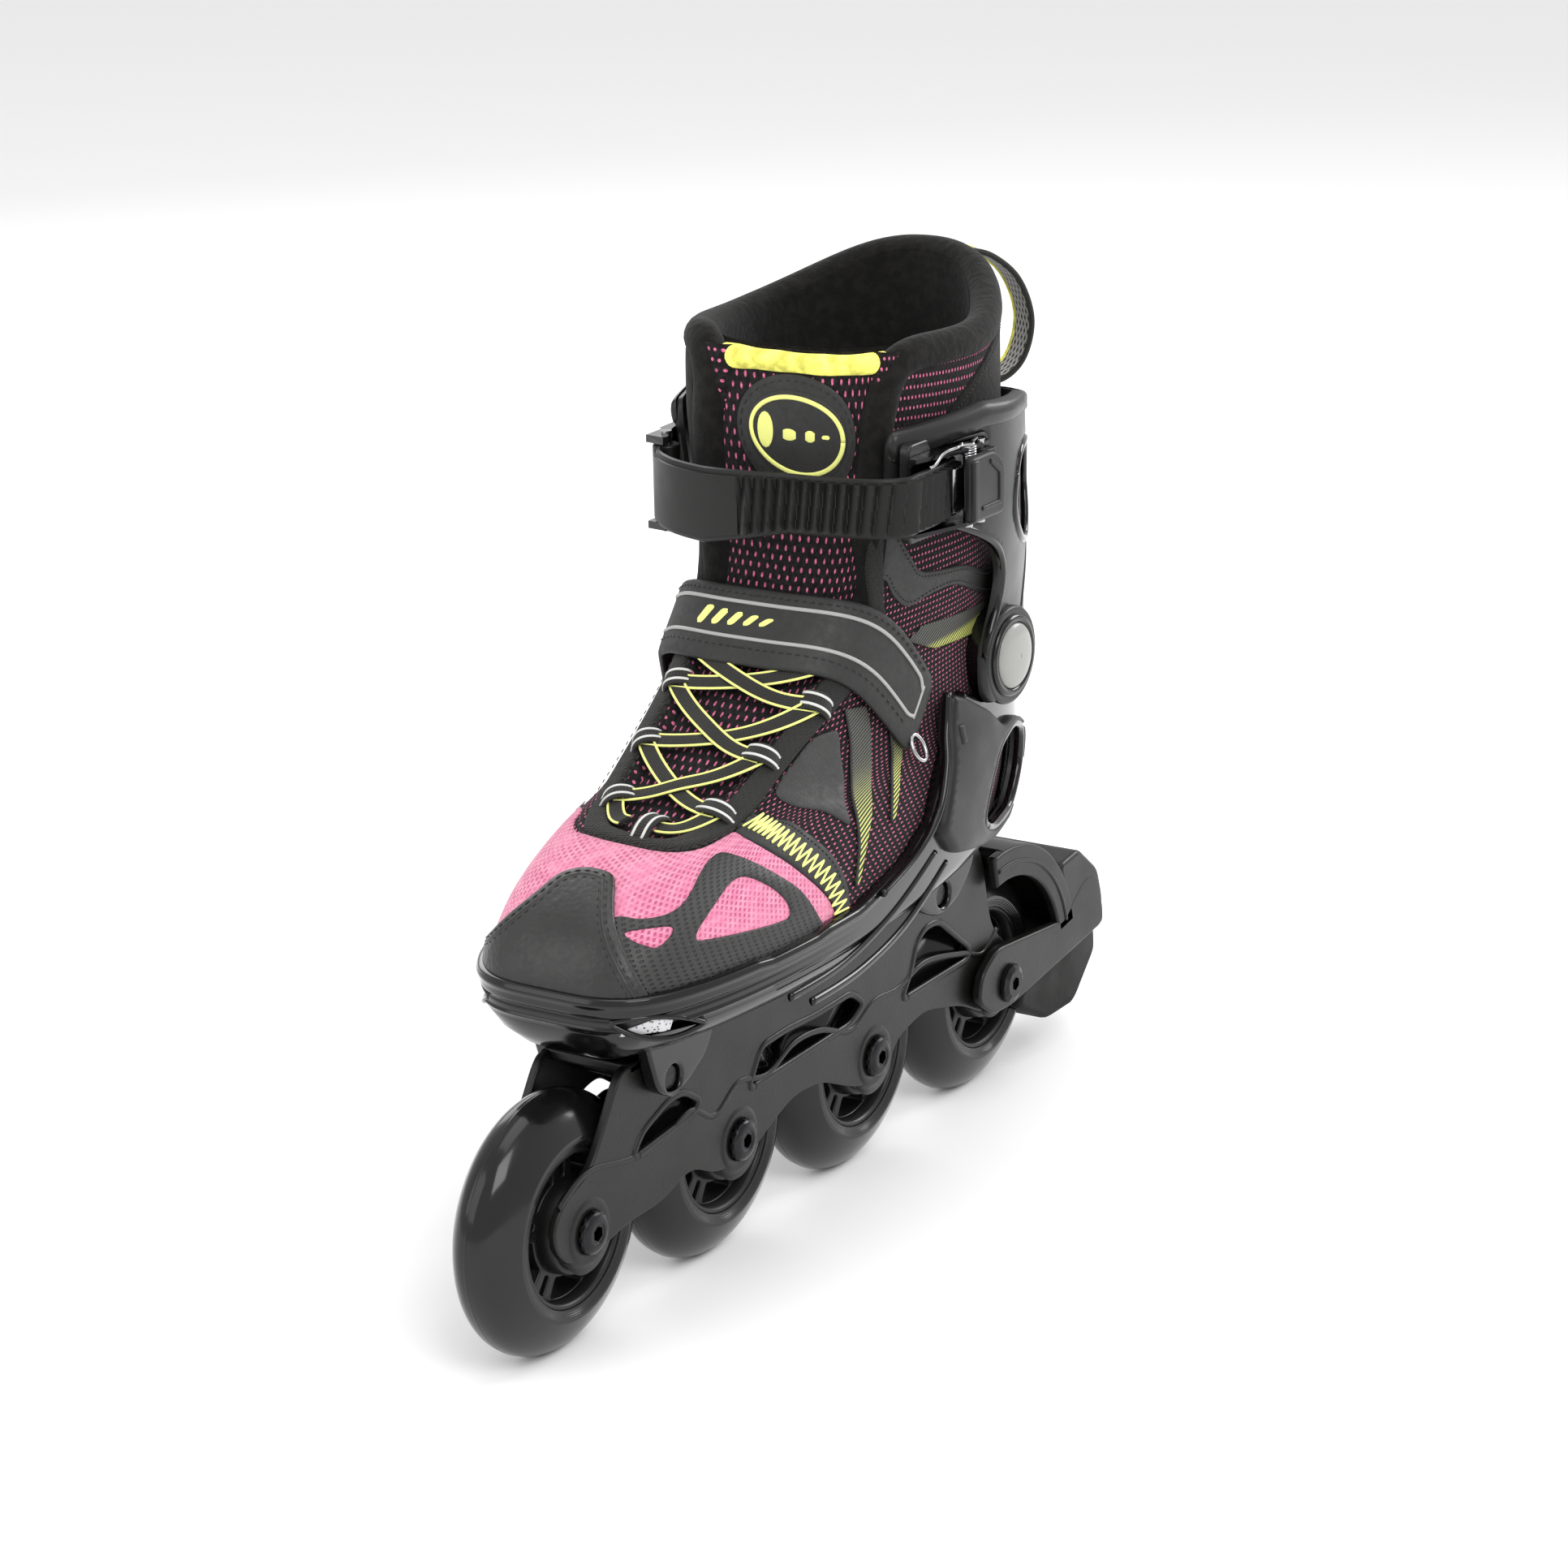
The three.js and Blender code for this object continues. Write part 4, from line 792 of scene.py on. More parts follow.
def leather(name, color=(0.062, 0.058, 0.056), grain=1.25, rough=0.42, depth=0.12):
    """Smooth grained leather or coated fabric: small rounded cells, a few long creases, and soft gloss."""
    s = Shader(name, color, rough)
    cells = s.node("ShaderNodeTexVoronoi", feature="SMOOTH_F1")
    cells.inputs["Scale"].default_value = 1000 / grain
    s.plug(cells.inputs["Vector"], s.where)
    s.set("Base Color", s.mix(s.spread(s.noise(90, 4), 0.3, 0.7), tuple(c * 0.85 for c in color),
                              tuple(c * 1.2 for c in color)))
    s.set("Roughness", s.spread(s.noise(500, 3), 0.2, 0.8, rough - 0.06, rough + 0.1))
    s.bump(cells.outputs["Distance"], depth)
    s.bump(s.noise(60, 5), 0.3)
    return s.mat


strap_cloth = leather("coated_strap_cloth", (0.016, 0.0155, 0.015), 0.55, 0.6, 0.04)
lime_thread = moulded("lime_thread", (0.86, 0.88, 0.25), 0.75, 0.05, 2500, sheen=0.3)


def badge_outline(grow=0.0, n=64):
    """An oval whose left side is flatter, in unrolled millimetres."""
    a = np.linspace(0, 2 * np.pi, n, endpoint=False)
    middle = unrolled(turn_of(3.2), 0.912)
    return middle + np.stack([(15.2 + grow) * np.cos(a), (9.3 + grow) * np.sin(a) - 1.0 * np.cos(a)], -1)


badge = patch("badge_patch", badge_outline(3.8), strap_cloth, 0.1, 0.6, 0.5, pitch=2.4, put=tongue_place)
follow_ankle(badge)
badge_mid = patch("badge_face", badge_outline(0.4), strap_cloth, 0.5, 0.6, 0.5, pitch=2.4, put=tongue_place,
                  puff=0.2)
follow_ankle(badge_mid)


def bead(name, flat, put, off, wide, tall, material, closed=False):
    """A raised cord of oval section along an unrolled line."""
    line = np.vstack([flat, flat[:1]]) if closed else flat
    path = put(line, off + np.zeros(len(line)))
    out = put(line, off + 1 + np.zeros(len(line))) - path
    return carried(name, path, out, oval(wide, tall, 12), material)


ring = bead("badge_ring", even(badge_outline(-1.2), 0.8), tongue_place, 1.15, 0.72, 0.4, lime_thread, True)
follow_ankle(ring)
mark_a = np.linspace(0, 2 * np.pi, 40, endpoint=False)
for tag, shift_mm, wide, tall in (("disc", -9.6, 2.5, 4.0), ("bar_a", -2.4, 2.7, 1.4),
                                  ("bar_b", 3.9, 1.9, 1.4), ("bar_c", 8.5, 1.3, 1.4)):
    spot = badge_outline().mean(0) + [shift_mm, 0.6 if tag == "disc" else 0.0]
    shape = spot + np.stack([wide * np.cos(mark_a), tall * np.sin(mark_a)], -1)
    made = patch("badge_mark_" + tag, shape, lime_thread, 1.0, 0.35, 0.3, pitch=1.2, put=tongue_place)
    follow_ankle(made)


STITCH_AT = np.array([-0.5, -0.36, 0, 0.36, 0.5])
STITCH_SIZE = np.array([0.15, 0.85, 1, 0.85, 0.15])


def capsules(name, spots, put, off, lift, radius, arch, material):
    """Short closed threads, one for each row of five flat points: rings of six points round them, whose
    radius falls off as a circle at the two ends. arch bows each up by a half sine."""
    here = put(spots.reshape(-1, 2), np.full(spots.size // 2, off)).reshape(*spots.shape[:2], 3)
    up = put(spots.reshape(-1, 2), np.full(spots.size // 2, off + lift)).reshape(*spots.shape[:2], 3) - here
    across = np.cross(here[:, -1:] - here[:, :1], up)
    across /= np.linalg.norm(across, axis=-1, keepdims=True)
    a = np.linspace(0, 2 * np.pi, 6, endpoint=False)[:, None]
    size = radius * STITCH_SIZE
    round_it = across[:, :, None] * np.cos(a) + up[:, :, None] * np.sin(a)
    points = here[:, :, None] + size[:, None, None] * round_it
    points += (up * (arch * np.sin(np.pi * (STITCH_AT + 0.5)))[:, None])[:, :, None]
    faces = (quads(5, 6, False, True)[None] + (np.arange(len(spots)) * 30)[:, None, None]).reshape(-1, 4)
    return build(name, points.reshape(-1, 3), faces, material)


def stitches(name, flat, put, off, length, gap, radius, material):
    """A row of thread stitches along a line, each of a length and with a gap after it."""
    line = even(flat, length + gap, False)
    step = np.gradient(line, axis=0)
    step /= np.linalg.norm(step, axis=1)[:, None]
    spots = line[:, None] + step[:, None] * (STITCH_AT * length)[:, None]
    return capsules(name, spots, put, off, 1.0, radius, 0.5 * radius, material)


black_thread = moulded("black_thread", (0.012, 0.012, 0.012), 0.8, 0.05, 2500, sheen=0.2)
follow_ankle(stitches("badge_stitching", badge_outline(2.4), tongue_place, 0.75, 1.5, 0.9, 0.22,
                      black_thread))


# ---------------------------------------------------------------- vamp
# Pink open mesh over the toes and the front of the foot. Above it a black strip is sewn on with a wide lime
# zigzag, and a seam of small stitches joins the strip to the knit.
def pink_mesh():
    """Pink mesh: light pink rows with short sunken stitches between them, painted a darker pink as shade in
    their hollows.
    """
    s = Shader("pink_mesh", (0.60, 0.16, 0.29), 0.8, coords="UV", Sheen_Weight=0.3)
    u, w, _ = s.axes(-6, (1000 / 1.5, 1000 / 2.15, 1))
    stagger = s.half_step(u)
    across = s.from_middle(u)
    up = s.from_middle(s.math("ADD", w, stagger))
    slot_mask = s.math("MULTIPLY", s.spread(across, 0.12, 0.3, 1.0, 0.0), s.spread(up, 0.2, 0.34, 1.0, 0.0))
    slot_mask = s.math("MULTIPLY", slot_mask, s.spread(s.noise(120, 3), 0.35, 0.6, 0.35, 1.0))
    light = s.mix(s.spread(s.noise(300, 3), 0.35, 0.65), (0.64, 0.17, 0.30), (0.74, 0.25, 0.38))
    # Painted shade: the sunken slots take a darker pink than the rows.
    s.set("Base Color", s.mix(slot_mask, light, (0.50, 0.06, 0.17)))
    s.bump(slot_mask, -0.35)
    s.bump(s.noise(1400, 3), 0.1)
    return s.mat


mesh_pink = pink_mesh()
STRIP_LOW = [(-80, 10), (-74, 15), (-66, 22), (-50, 31), (-33, 36.5), (-24, 35.7), (-15, 35.5),
             (-8.1, 35.9), (-0.2, 35.7), (14.6, 35.3), (23.3, 35.7), (30.8, 37.7), (38, 35.2),
             (45.2, 32.1), (54, 27.5), (61.4, 22.6), (69.7, 15.2), (73.3, 9.6), (74.4, 4)]
low_edge = [(70, 1.5), (50, 1.5), (25, 1.5), (0, 1.5), (-25, 1.5), (-50, 1.5), (-75, 1.5)]
vamp_outline = curve_through(marks(STRIP_LOW), 6)
vamp_outline = np.vstack([vamp_outline, marks(low_edge)])
vamp = patch("vamp_mesh", vamp_outline, mesh_pink, 0.0, 0.5, 0.6)
fasten([vamp], "chassis")

STRIP_UP = [(31.9, 41.1), (43, 37.8), (55.3, 33.5), (67.6, 25.1), (73.3, 19.2), (76.5, 13), (77.5, 5)]
strip_down = [(30.8, 37.7), (45.2, 32.1), (54, 27.5), (61.4, 22.6), (69.7, 15.2), (73.3, 9.6), (74.4, 4)]
strip_loop = np.vstack([curve_through(marks(STRIP_UP), 8), curve_through(marks(strip_down), 8)[::-1]])
strip = patch("vamp_strip", strip_loop, strap_cloth, 0.3, 0.7, 0.6)
fasten([strip], "chassis")


def zigzag(flat, half, step):
    """A line that crosses its middle from side to side, once for each step along it."""
    line = even(flat, step, False)
    along = np.gradient(line, axis=0)
    square = np.stack([-along[:, 1], along[:, 0]], -1) / np.linalg.norm(along, axis=1)[:, None]
    return line + square * (np.where(np.arange(len(line)) % 2, half, -half))[:, None]


zig = zigzag(curve_through(marks([(35, 39.2), (47.4, 34.2), (59.3, 27.2), (67.2, 20.6), (71.9, 15.4),
                                  (74.6, 9)]), 10),
             2.9, 2.15)
dense = even(zig, 0.5, False)
lime_zig = bead("lime_zigzag", dense, boot_place, 1.15, 0.36, 0.3, lime_thread)
fasten([lime_zig], "chassis")
strip_seam = curve_through(marks([(33, 40.2), (44, 36.9), (55.6, 32.5), (67, 24.5), (72.4, 18.9),
                                  (75.4, 13)]), 8)
row = stitches("strip_stitching", strip_seam, boot_place, 1.0, 1.6, 1.0, 0.2, black_thread)
fasten([row], "chassis")
white_thread = moulded("pale_thread", (0.62, 0.62, 0.60), 0.8, 0.05, 2500)
medial = zigzag(curve_through(marks([(-46, 33), (-56, 27.5), (-65, 21), (-72, 14), (-76, 8)]), 10), 1.6,
                1.1)
medial_zig = bead("pale_zigzag", even(medial, 0.5, False), boot_place, 0.6, 0.32, 0.26, white_thread)
fasten([medial_zig], "chassis")


# ---------------------------------------------------------------- toe cap
# A cap of grained black leather over the toes, with a seam allowance folded under and two rows of
# stitching.
CAP_TOP = [(-70, 1.5), (-62, 4.5), (-48, 8.5), (-35, 11.5), (-24, 14), (-16, 17.6), (-8.8, 22.6),
           (-6.3, 25.1), (-4.6, 27.3), (-2.4, 28.9), (-0.2, 29.9), (1.2, 29.6), (2.9, 27.9), (4.7, 25.3),
           (6.8, 22.4), (9.4, 19.8), (13.7, 16.2), (18, 12.4), (21, 9.4), (27, 1.5)]
leather_cap = leather("toe_cap_leather", (0.016, 0.0155, 0.015), 1.5, 0.40, 0.16)
cap_line = curve_through(marks(CAP_TOP), 6)
cap_loop = np.vstack([cap_line, marks([(15, 0.6), (0, 0.6), (-20, 0.6), (-45, 0.6)])])
toe_cap = patch("toe_cap", cap_loop, leather_cap, 0.8, 1.5, 1.1, pitch=1.8, puff=0.25)
fasten([toe_cap], "chassis")


def inset(flat, by):
    """The line moved to its left by a distance."""
    along = np.gradient(flat, axis=0)
    square = np.stack([-along[:, 1], along[:, 0]], -1) / np.linalg.norm(along, axis=1)[:, None]
    return flat + square * by


for tag, by in (("outer", -2.0), ("inner", -4.2)):
    row = stitches("cap_stitching_" + tag, inset(even(cap_line, 1.5, False), by)[3:-3], boot_place, 2.3,
                   1.9, 0.9, 0.26,
                   black_thread)
    fasten([row], "chassis")
fold = bead("cap_fold", inset(even(cap_line, 1.5, False), -3.1)[2:-2], boot_place, 2.3, 0.6, 0.35,
            leather_cap)
fasten([fold], "chassis")


# ---------------------------------------------------------------- side overlay
# A no-sew film overlay pressed on the mesh at the side of the foot, with small dots moulded in it and two
# cut windows that show the pink mesh.
def dotted_film():
    """Matt charcoal film with a staggered grid of small hollows, painted darker as shade."""
    s = Shader("dotted_film", (0.015, 0.015, 0.0145), 0.5, coords="UV")
    u, w, _ = s.axes(14, (1000 / 2.3, 1000 / 1.65, 1))
    stagger = s.half_step(w)
    across = s.math("MULTIPLY", s.math("SUBTRACT", s.math("FRACT", s.math("ADD", u, stagger)), 0.5), 2.3)
    up = s.math("MULTIPLY", s.math("SUBTRACT", s.math("FRACT", w), 0.5), 1.65)
    far = s.length(across, up)
    hollow = s.spread(far, 0.32, 0.62, 1.0, 0.0)
    # Painted shade: the hollows are coloured near black.
    s.set("Base Color", s.mix(hollow, (0.024, 0.0235, 0.023), (0.008, 0.008, 0.008)))
    s.bump(hollow, -0.4)
    s.bump(s.noise(900, 3), 0.04)
    return s.mat


film = dotted_film()
FILM_TOP = [(9.5, 1.5), (5, 12), (4, 20), (7, 22.9), (14.6, 22.6), (22.9, 22.8), (27.6, 24), (29.6, 26.4),
            (29.9, 29.2), (30.6, 31.6), (33.2, 32.6), (40.2, 30.7), (48.8, 27.1), (57.1, 22.4),
            (63.3, 17.8), (67.2, 13), (70.5, 7.2), (72.5, 1.5)]
FILM_WINDOW = [(34.8, 18), (35.3, 16.6), (38, 16.2), (48, 15), (58.2, 13.8), (60.7, 14.2), (59.6, 17),
               (55.3, 20.8), (48.8, 24.4), (44.9, 25.5), (42, 24.9), (39.8, 23), (37, 20.4)]
FILM_SLIT = [(10.9, 20.2), (16, 20.8), (24.7, 20.6), (27, 19.6), (25, 17.9), (22.5, 17.2), (20, 17.6),
             (14.6, 18.8)]
film_loop = np.vstack([curve_through(marks(FILM_TOP), 6), marks([(50, 0.8), (30, 0.8)])])
overlay = patch("side_overlay", film_loop, film, 0.55, 0.6, 0.5, pitch=1.9,
                holes=[curve_through(marks(FILM_WINDOW), 6, True),
                       curve_through(marks(FILM_SLIT), 6, True)])
fasten([overlay], "chassis")


# ---------------------------------------------------------------- quarter
# Panels welded and sewn on the knit at the side and the ankle: a plain film wedge, two tapered stripes and
# a small wedge of raised ribs that turn from grey to lime, and a wavy band of coated cloth round the ankle.
fine_film = leather("fine_film", (0.018, 0.0175, 0.017), 0.8, 0.55, 0.05)
QUARTER = [(41.6, 51), (48.8, 51.2), (53.5, 50.2), (60, 45), (65.8, 39.7), (71.5, 32.5), (75.6, 26),
           (70, 29.6), (63.9, 33.1), (52, 38), (40.2, 42.4), (37, 44.6), (38.5, 48)]
quarter = patch("quarter_film", curve_through(marks(QUARTER), 6, True), fine_film, 0.2, 0.6, 0.5)
fasten([quarter], "chassis")


def ribbed(name, low, high, turn=-50, pitch=1.8):
    """Raised diagonal ribs, grey at the height share high and lime at low, on a black ground."""
    s = Shader(name, (0.04, 0.04, 0.04), 0.6, coords="UV")
    _, along, _ = s.axes(turn, (1000 / pitch, 1000 / pitch, 1))
    _, up, _ = s.axes(0, (1, 1000 / UP_MM, 1))
    rib = s.from_middle(along)
    mask = s.spread(rib, 0.2, 0.3, 1.0, 0.0)
    color = s.mix(s.spread(up, low, high), (0.62, 0.66, 0.16), (0.10, 0.10, 0.085))
    s.set("Base Color", s.mix(mask, (0.009, 0.0085, 0.008), color))
    s.bump(mask, 0.45)
    s.bump(s.noise(1500, 2), 0.05)
    return s.mat


RIBBED = {
    "stripe_front": ([(51, 54.3), (60, 48), (66.5, 41.1), (73, 33), (76.9, 26.5), (78.6, 20), (78.4, 13)],
                     [(61.1, 53.1), (67, 48.5), (72.3, 42.3), (78, 34), (81.2, 26.7), (81, 20), (79.8, 13)],
                     0.20, 0.44),
    "stripe_rear": ([(74.4, 47.5), (78.5, 42.5), (82, 37.3), (85.6, 30), (87.4, 22)],
                    [(81.2, 44.9), (84.5, 39), (87, 33.3), (88.6, 28), (88.8, 22)],
                    0.30, 0.46),
}
for name, (left_side, right_side, low, high) in RIBBED.items():
    loop = np.vstack([curve_through(marks(left_side), 6), curve_through(marks(right_side), 6)[::-1]])
    made = patch(name, loop, ribbed(name + "_ribs", low, high), 0.25, 0.7, 0.5, pitch=1.8)
    fasten([made], "chassis")
    rail = bead(name + "_edge", curve_through(marks(left_side), 8), boot_place, 0.9, 0.5, 0.5, strap_cloth)
    fasten([rail], "chassis")
wedge_loop = marks([(68, 62.2), (73, 64), (79, 63.6), (95, 62.4), (110, 61), (110, 55.5), (95, 57),
                    (84, 58)])
wedge_ribs = ribbed("ankle_wedge_ribs", 0.585, 0.60)
wedge = patch("ankle_wedge", even(wedge_loop, 2.0), wedge_ribs, 0.25, 0.6, 0.5, pitch=1.8)
follow_ankle(wedge)

WAVE_TOP = [(43, 83.5), (47, 82), (51, 79.6), (58.9, 76), (64.3, 73.8), (74.4, 72.8), (87.4, 71.7),
            (103.6, 68.3), (125, 66)]
WAVE_LOW = [(43, 74.5), (46.5, 74), (52.1, 71.3), (61.8, 68.6), (73, 69.3), (85.2, 68.7), (105.4, 63.5),
            (125, 60)]
wave_loop = np.vstack([curve_through(marks(WAVE_TOP), 6), curve_through(marks(WAVE_LOW), 6)[::-1]])
wave = patch("ankle_band", wave_loop, fine_film, 0.2, 0.7, 0.6)
follow_ankle(wave)
for tag, line, by in (("upper", WAVE_TOP, -1.5), ("lower", WAVE_LOW, 1.5)):
    row = stitches("ankle_stitching_" + tag, inset(curve_through(marks(line), 6), by)[2:-2], boot_place,
                   0.95, 1.5, 0.9,
                   0.22, black_thread)
    follow_ankle(row)


def heel_place(flat, off):
    """Points given as millimetres round from the heel line (outer side negative) and up, put on the
    boot."""
    round_mm = np.where(flat[:, 0] < 0, flat[:, 0] + ROUND_MM[-1], flat[:, 0] + ROUND_MM[0])
    return on_boot(*rolled(np.stack([round_mm, flat[:, 1]], -1)), off)[0]


def heel_marks(points):
    """Outline points given as (degrees from the toe, per cent of height), as heel millimetres."""
    flat = marks(points)
    flat[:, 0] += np.where(flat[:, 0] > 0, -ROUND_MM[-1], -ROUND_MM[0])
    return flat


REAR_TOP = [(72, 92.8), (84, 95.4), (93, 97), (103, 98.2), (120, 99), (150, 99.2), (179.9, 99.2)]
rear_line = curve_through(heel_marks(REAR_TOP), 6)
rear_loop = np.vstack([rear_line, rear_line[::-1] * [-1, 1],
                       heel_marks([(-72, 84), (-120, 83), (-179.9, 82)]),
                       heel_marks([(179.9, 82), (120, 83), (72, 84)])])
rear_panel = patch("rear_panel", even(rear_loop, 2.0), fleece_black, -0.1, 0.9, 0.8, put=heel_place)
follow_ankle(rear_panel)
seam = stitches("rear_stitching", inset(rear_line, -1.8), heel_place, 0.85, 1.5, 0.9, 0.2, black_thread)
follow_ankle(seam)


# ---------------------------------------------------------------- binding
# The opening's edge is bound with soft herringbone webbing, in one piece down one side and up the other.
def herringbone(name, color, pitch=2.4):
    """Slanting yarns that change their slant in columns, with painted highlight on the yarn tops and painted
    shade in the grooves between them.
    """
    s = Shader(name, color, 0.88, coords="UV", Sheen_Weight=0.05)
    u, w, _ = s.axes(45, (1000 / pitch, 1000 / (pitch * 0.42), 1))
    side = s.math("PINGPONG", u, 1.0)
    yarn = s.math("FRACT", s.math("ADD", w, s.math("MULTIPLY", side, 2.0)))
    ridge = s.spread(s.math("ABSOLUTE", s.math("SUBTRACT", yarn, 0.5)), 0.1, 0.45, 1.0, 0.0)
    # Painted highlight and shade: the yarn tops are lighter and the grooves darker.
    s.set("Base Color", s.mix(ridge, tuple(c * 0.4 for c in color), tuple(c * 1.35 for c in color)))
    s.bump(ridge, 0.3)
    s.bump(s.noise(1800, 2), 0.06)
    return s.mat


webbing = herringbone("herringbone_webbing", (0.014, 0.013, 0.012))
BIND_OUT = [(52, 62), (50, 57.5), (44.9, 53.9), (40.6, 51), (36.5, 47.3), (34.4, 44), (32, 40.6),
            (29.4, 37.9), (21.1, 35.8), (11.7, 35.4), (-0.2, 35.7), (-9, 36), (-15, 37.2), (-20.5, 40.5),
            (-25, 46), (-28, 52), (-31, 58), (-34, 66), (-35, 70)]
BIND_IN = [(-14, 70), (-14, 66), (-13.8, 60), (-13.4, 55), (-12.6, 49.5), (-11.2, 45), (-8.5, 41),
           (-5, 38.9), (-1.6, 38), (1.6, 37.4), (8, 38), (14.2, 40.9), (18.2, 44.5), (21.8, 48.5),
           (24.4, 53.1), (28, 57.4), (33.5, 62)]
binding_loop = np.vstack([curve_through(marks(BIND_OUT), 7), curve_through(marks(BIND_IN), 7)])
binding = patch("throat_binding", binding_loop, webbing, -0.4, 2.3, 1.6, pitch=1.9)
follow_ankle(binding)
for tag, line, by in (("outer", BIND_OUT, 1.3), ("inner", BIND_IN, 1.3)):
    row = stitches("binding_stitching_" + tag, inset(even(curve_through(marks(line), 7), 1.5, False),
                                                     by)[4:-4],
                   boot_place, 1.8, 1.3, 1.0, 0.18, black_thread)
    follow_ankle(row)
SIDE_BIND_OUT = [(57, 62), (52, 68), (47.4, 71.1), (43.5, 76.4), (40.5, 81.6), (40, 87), (41, 91.5)]
SIDE_BIND_IN = [(36.5, 91.5), (34, 87), (33, 81), (34.4, 76.4), (38.8, 72), (42, 68), (46, 62)]
side_loop = np.vstack([curve_through(marks(SIDE_BIND_OUT), 6), curve_through(marks(SIDE_BIND_IN), 6)])
side_binding = patch("side_binding", side_loop, webbing, -0.2, 1.6, 1.3)
follow_ankle(side_binding)
INNER_PAD = [(-19, 63), (-20, 72), (-20.5, 80), (-20.5, 87), (-19, 92), (-18, 97), (-28, 99.6),
             (-52, 99.6), (-66, 97), (-62, 88), (-55, 80), (-46, 72), (-38, 63)]
inner_pad = patch("inner_collar_pad", curve_through(marks(INNER_PAD), 6, True), fleece_black, -0.4, 1.6,
                  2.0, puff=1.3)
follow_ankle(inner_pad)


# ---------------------------------------------------------------- laces
# Seven keepers of black tape with two pale stripes hold a flat black lace with lime edges.
def ribbon(name, flat, lift, half, thick, material, put=boot_place):
    """A flat tape along an unrolled line: the lift is a number for each of its points."""
    path = put(flat, lift)
    out = put(flat, lift + 1.0) - path
    a = np.linspace(0, 2 * np.pi, 20, endpoint=False)
    section = np.stack([half * np.sign(np.cos(a)) * np.abs(np.cos(a)) ** 0.6, thick * np.sin(a)], -1)
    return carried(name, path, out, section, material), path, out


def stripe_along(name, path, out, side, wide, tall, up, material):
    """A raised yarn that runs along a tape, to one side of its middle."""
    a = np.linspace(0, 2 * np.pi, 10, endpoint=False)
    return carried(name, path, out, np.stack([side + wide * np.cos(a), up + tall * np.sin(a)], -1),
                   material)


def woven(name, color, pitch=0.9):
    """Tightly woven tape: fine cross ribs, with painted highlight on their tops and painted shade in the
    grooves.
    """
    s = Shader(name, color, 0.85, coords="UV", Sheen_Weight=0.05)
    u, w, _ = s.axes(0, (1000 / pitch, 1000 / 0.7, 1))
    rib = s.from_middle(u)
    cross = s.from_middle(w)
    weave = s.math("MULTIPLY", s.spread(rib, 0.08, 0.4, 1.0, 0.2), s.spread(cross, 0.1, 0.45, 1.0, 0.4))
    # Painted highlight and shade: the rib tops are lighter and the grooves darker.
    s.set("Base Color", s.mix(weave, tuple(c * 0.5 for c in color), tuple(c * 1.35 for c in color)))
    s.bump(weave, 0.22)
    return s.mat


tape_black = woven("lace_tape", (0.016, 0.0155, 0.013))
KEEPERS = {
    "right_1": ((9, 43.1), (26, 40.3)), "right_2": ((13.5, 51.1), (31, 48.5)),
    "right_3": ((26, 58.2), (43.5, 54.8)),
    "left_1": ((-3.5, 43.4), (-13, 40.8)), "left_2": ((-7, 51.6), (-18, 48.8)),
    "left_3": ((-8.5, 59.8), (-21, 57.4)),
    "toe": ((1.2, 40.6), (0.4, 36.6)),
}
for tag, ends in KEEPERS.items():
    line = even(marks(ends), 0.8, False)
    t = np.linspace(0, 1, len(line))
    keeper, path, out = ribbon("keeper_" + tag, line,
                               1.2 + 3.0 * np.sin(np.pi * np.clip(t * 1.05, 0, 1)) ** 0.7, 3.5, 0.8,
                               tape_black)
    pieces = [keeper] + [stripe_along(f"keeper_{tag}_stripe_{i}", path, out, side, 0.5, 0.3, 0.72,
                                      white_thread)
                         for i, side in enumerate((-1.9, 1.9))]
    for piece in pieces:
        follow_ankle(piece)
STRANDS = [
    ("a", (2, 38.6), (17, 41.6), 0.0), ("b", (-1, 38.8), (-8, 42.2), 0.0),
    ("c", (-8, 42.2), (21, 49.8), 0.5),
    ("d", (17, 41.6), (-12, 50.4), 0.0), ("e", (21, 49.8), (-14, 58.6), 0.5),
    ("f", (-12, 50.4), (34, 56.6), 0.0),
    ("g", (34, 56.6), (-16, 64.6), 0.5), ("h", (-14, 58.6), (38, 64.6), 0.0),
]
for tag, start, end, over in STRANDS:
    ends = marks([start, end])
    line = even(ends, 0.9, False)
    t = np.linspace(0, 1, len(line))
    bow = np.array([0.0, -1.6]) * np.sin(np.pi * t)[:, None]
    depth = TONGUE_OFF * 0.4 * np.sin(np.pi * t) + 2.1 + over * 2.6 * np.exp(-(((t - 0.5) / 0.2) ** 2))
    strand, path, out = ribbon("lace_strand_" + tag, line + bow, depth, 2.7, 0.7, tape_black)
    if tag == "a":
        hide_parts("lace")
    pieces = [strand] + [stripe_along(f"lace_edge_{tag}_{i}", path, out, side, 0.42, 0.36, 0.42,
                                      lime_thread)
                         for i, side in enumerate((-2.35, 2.35))]
    for piece in pieces:
        follow_ankle(piece)


# ---------------------------------------------------------------- instep strap
# A padded strap of coated cloth that crosses the instep, with two pale pipings and two rows of stitches.
# Its end is held by a wire ring on the outer side.
STRAP_TURN = 1.5


def strap_place(flat, off):
    """Points given as (angle round in radians, share of the strap's width), put on the strap's face."""
    phi, t = flat[:, 0], flat[:, 1]
    drop = (np.abs(phi) / STRAP_TURN) ** 2.8
    low, top = 0.622 - 0.247 * drop, 0.734 - 0.219 * drop
    off = off + 3.5 * np.clip((-phi - 0.25) / 0.5, 0, 1) ** 2 * np.clip((phi + 1.5) / 0.3, 0, 1)
    return on_boot(np.sign(phi) * np.sqrt(np.abs(phi)), low + (top - low) * t, off)[0]


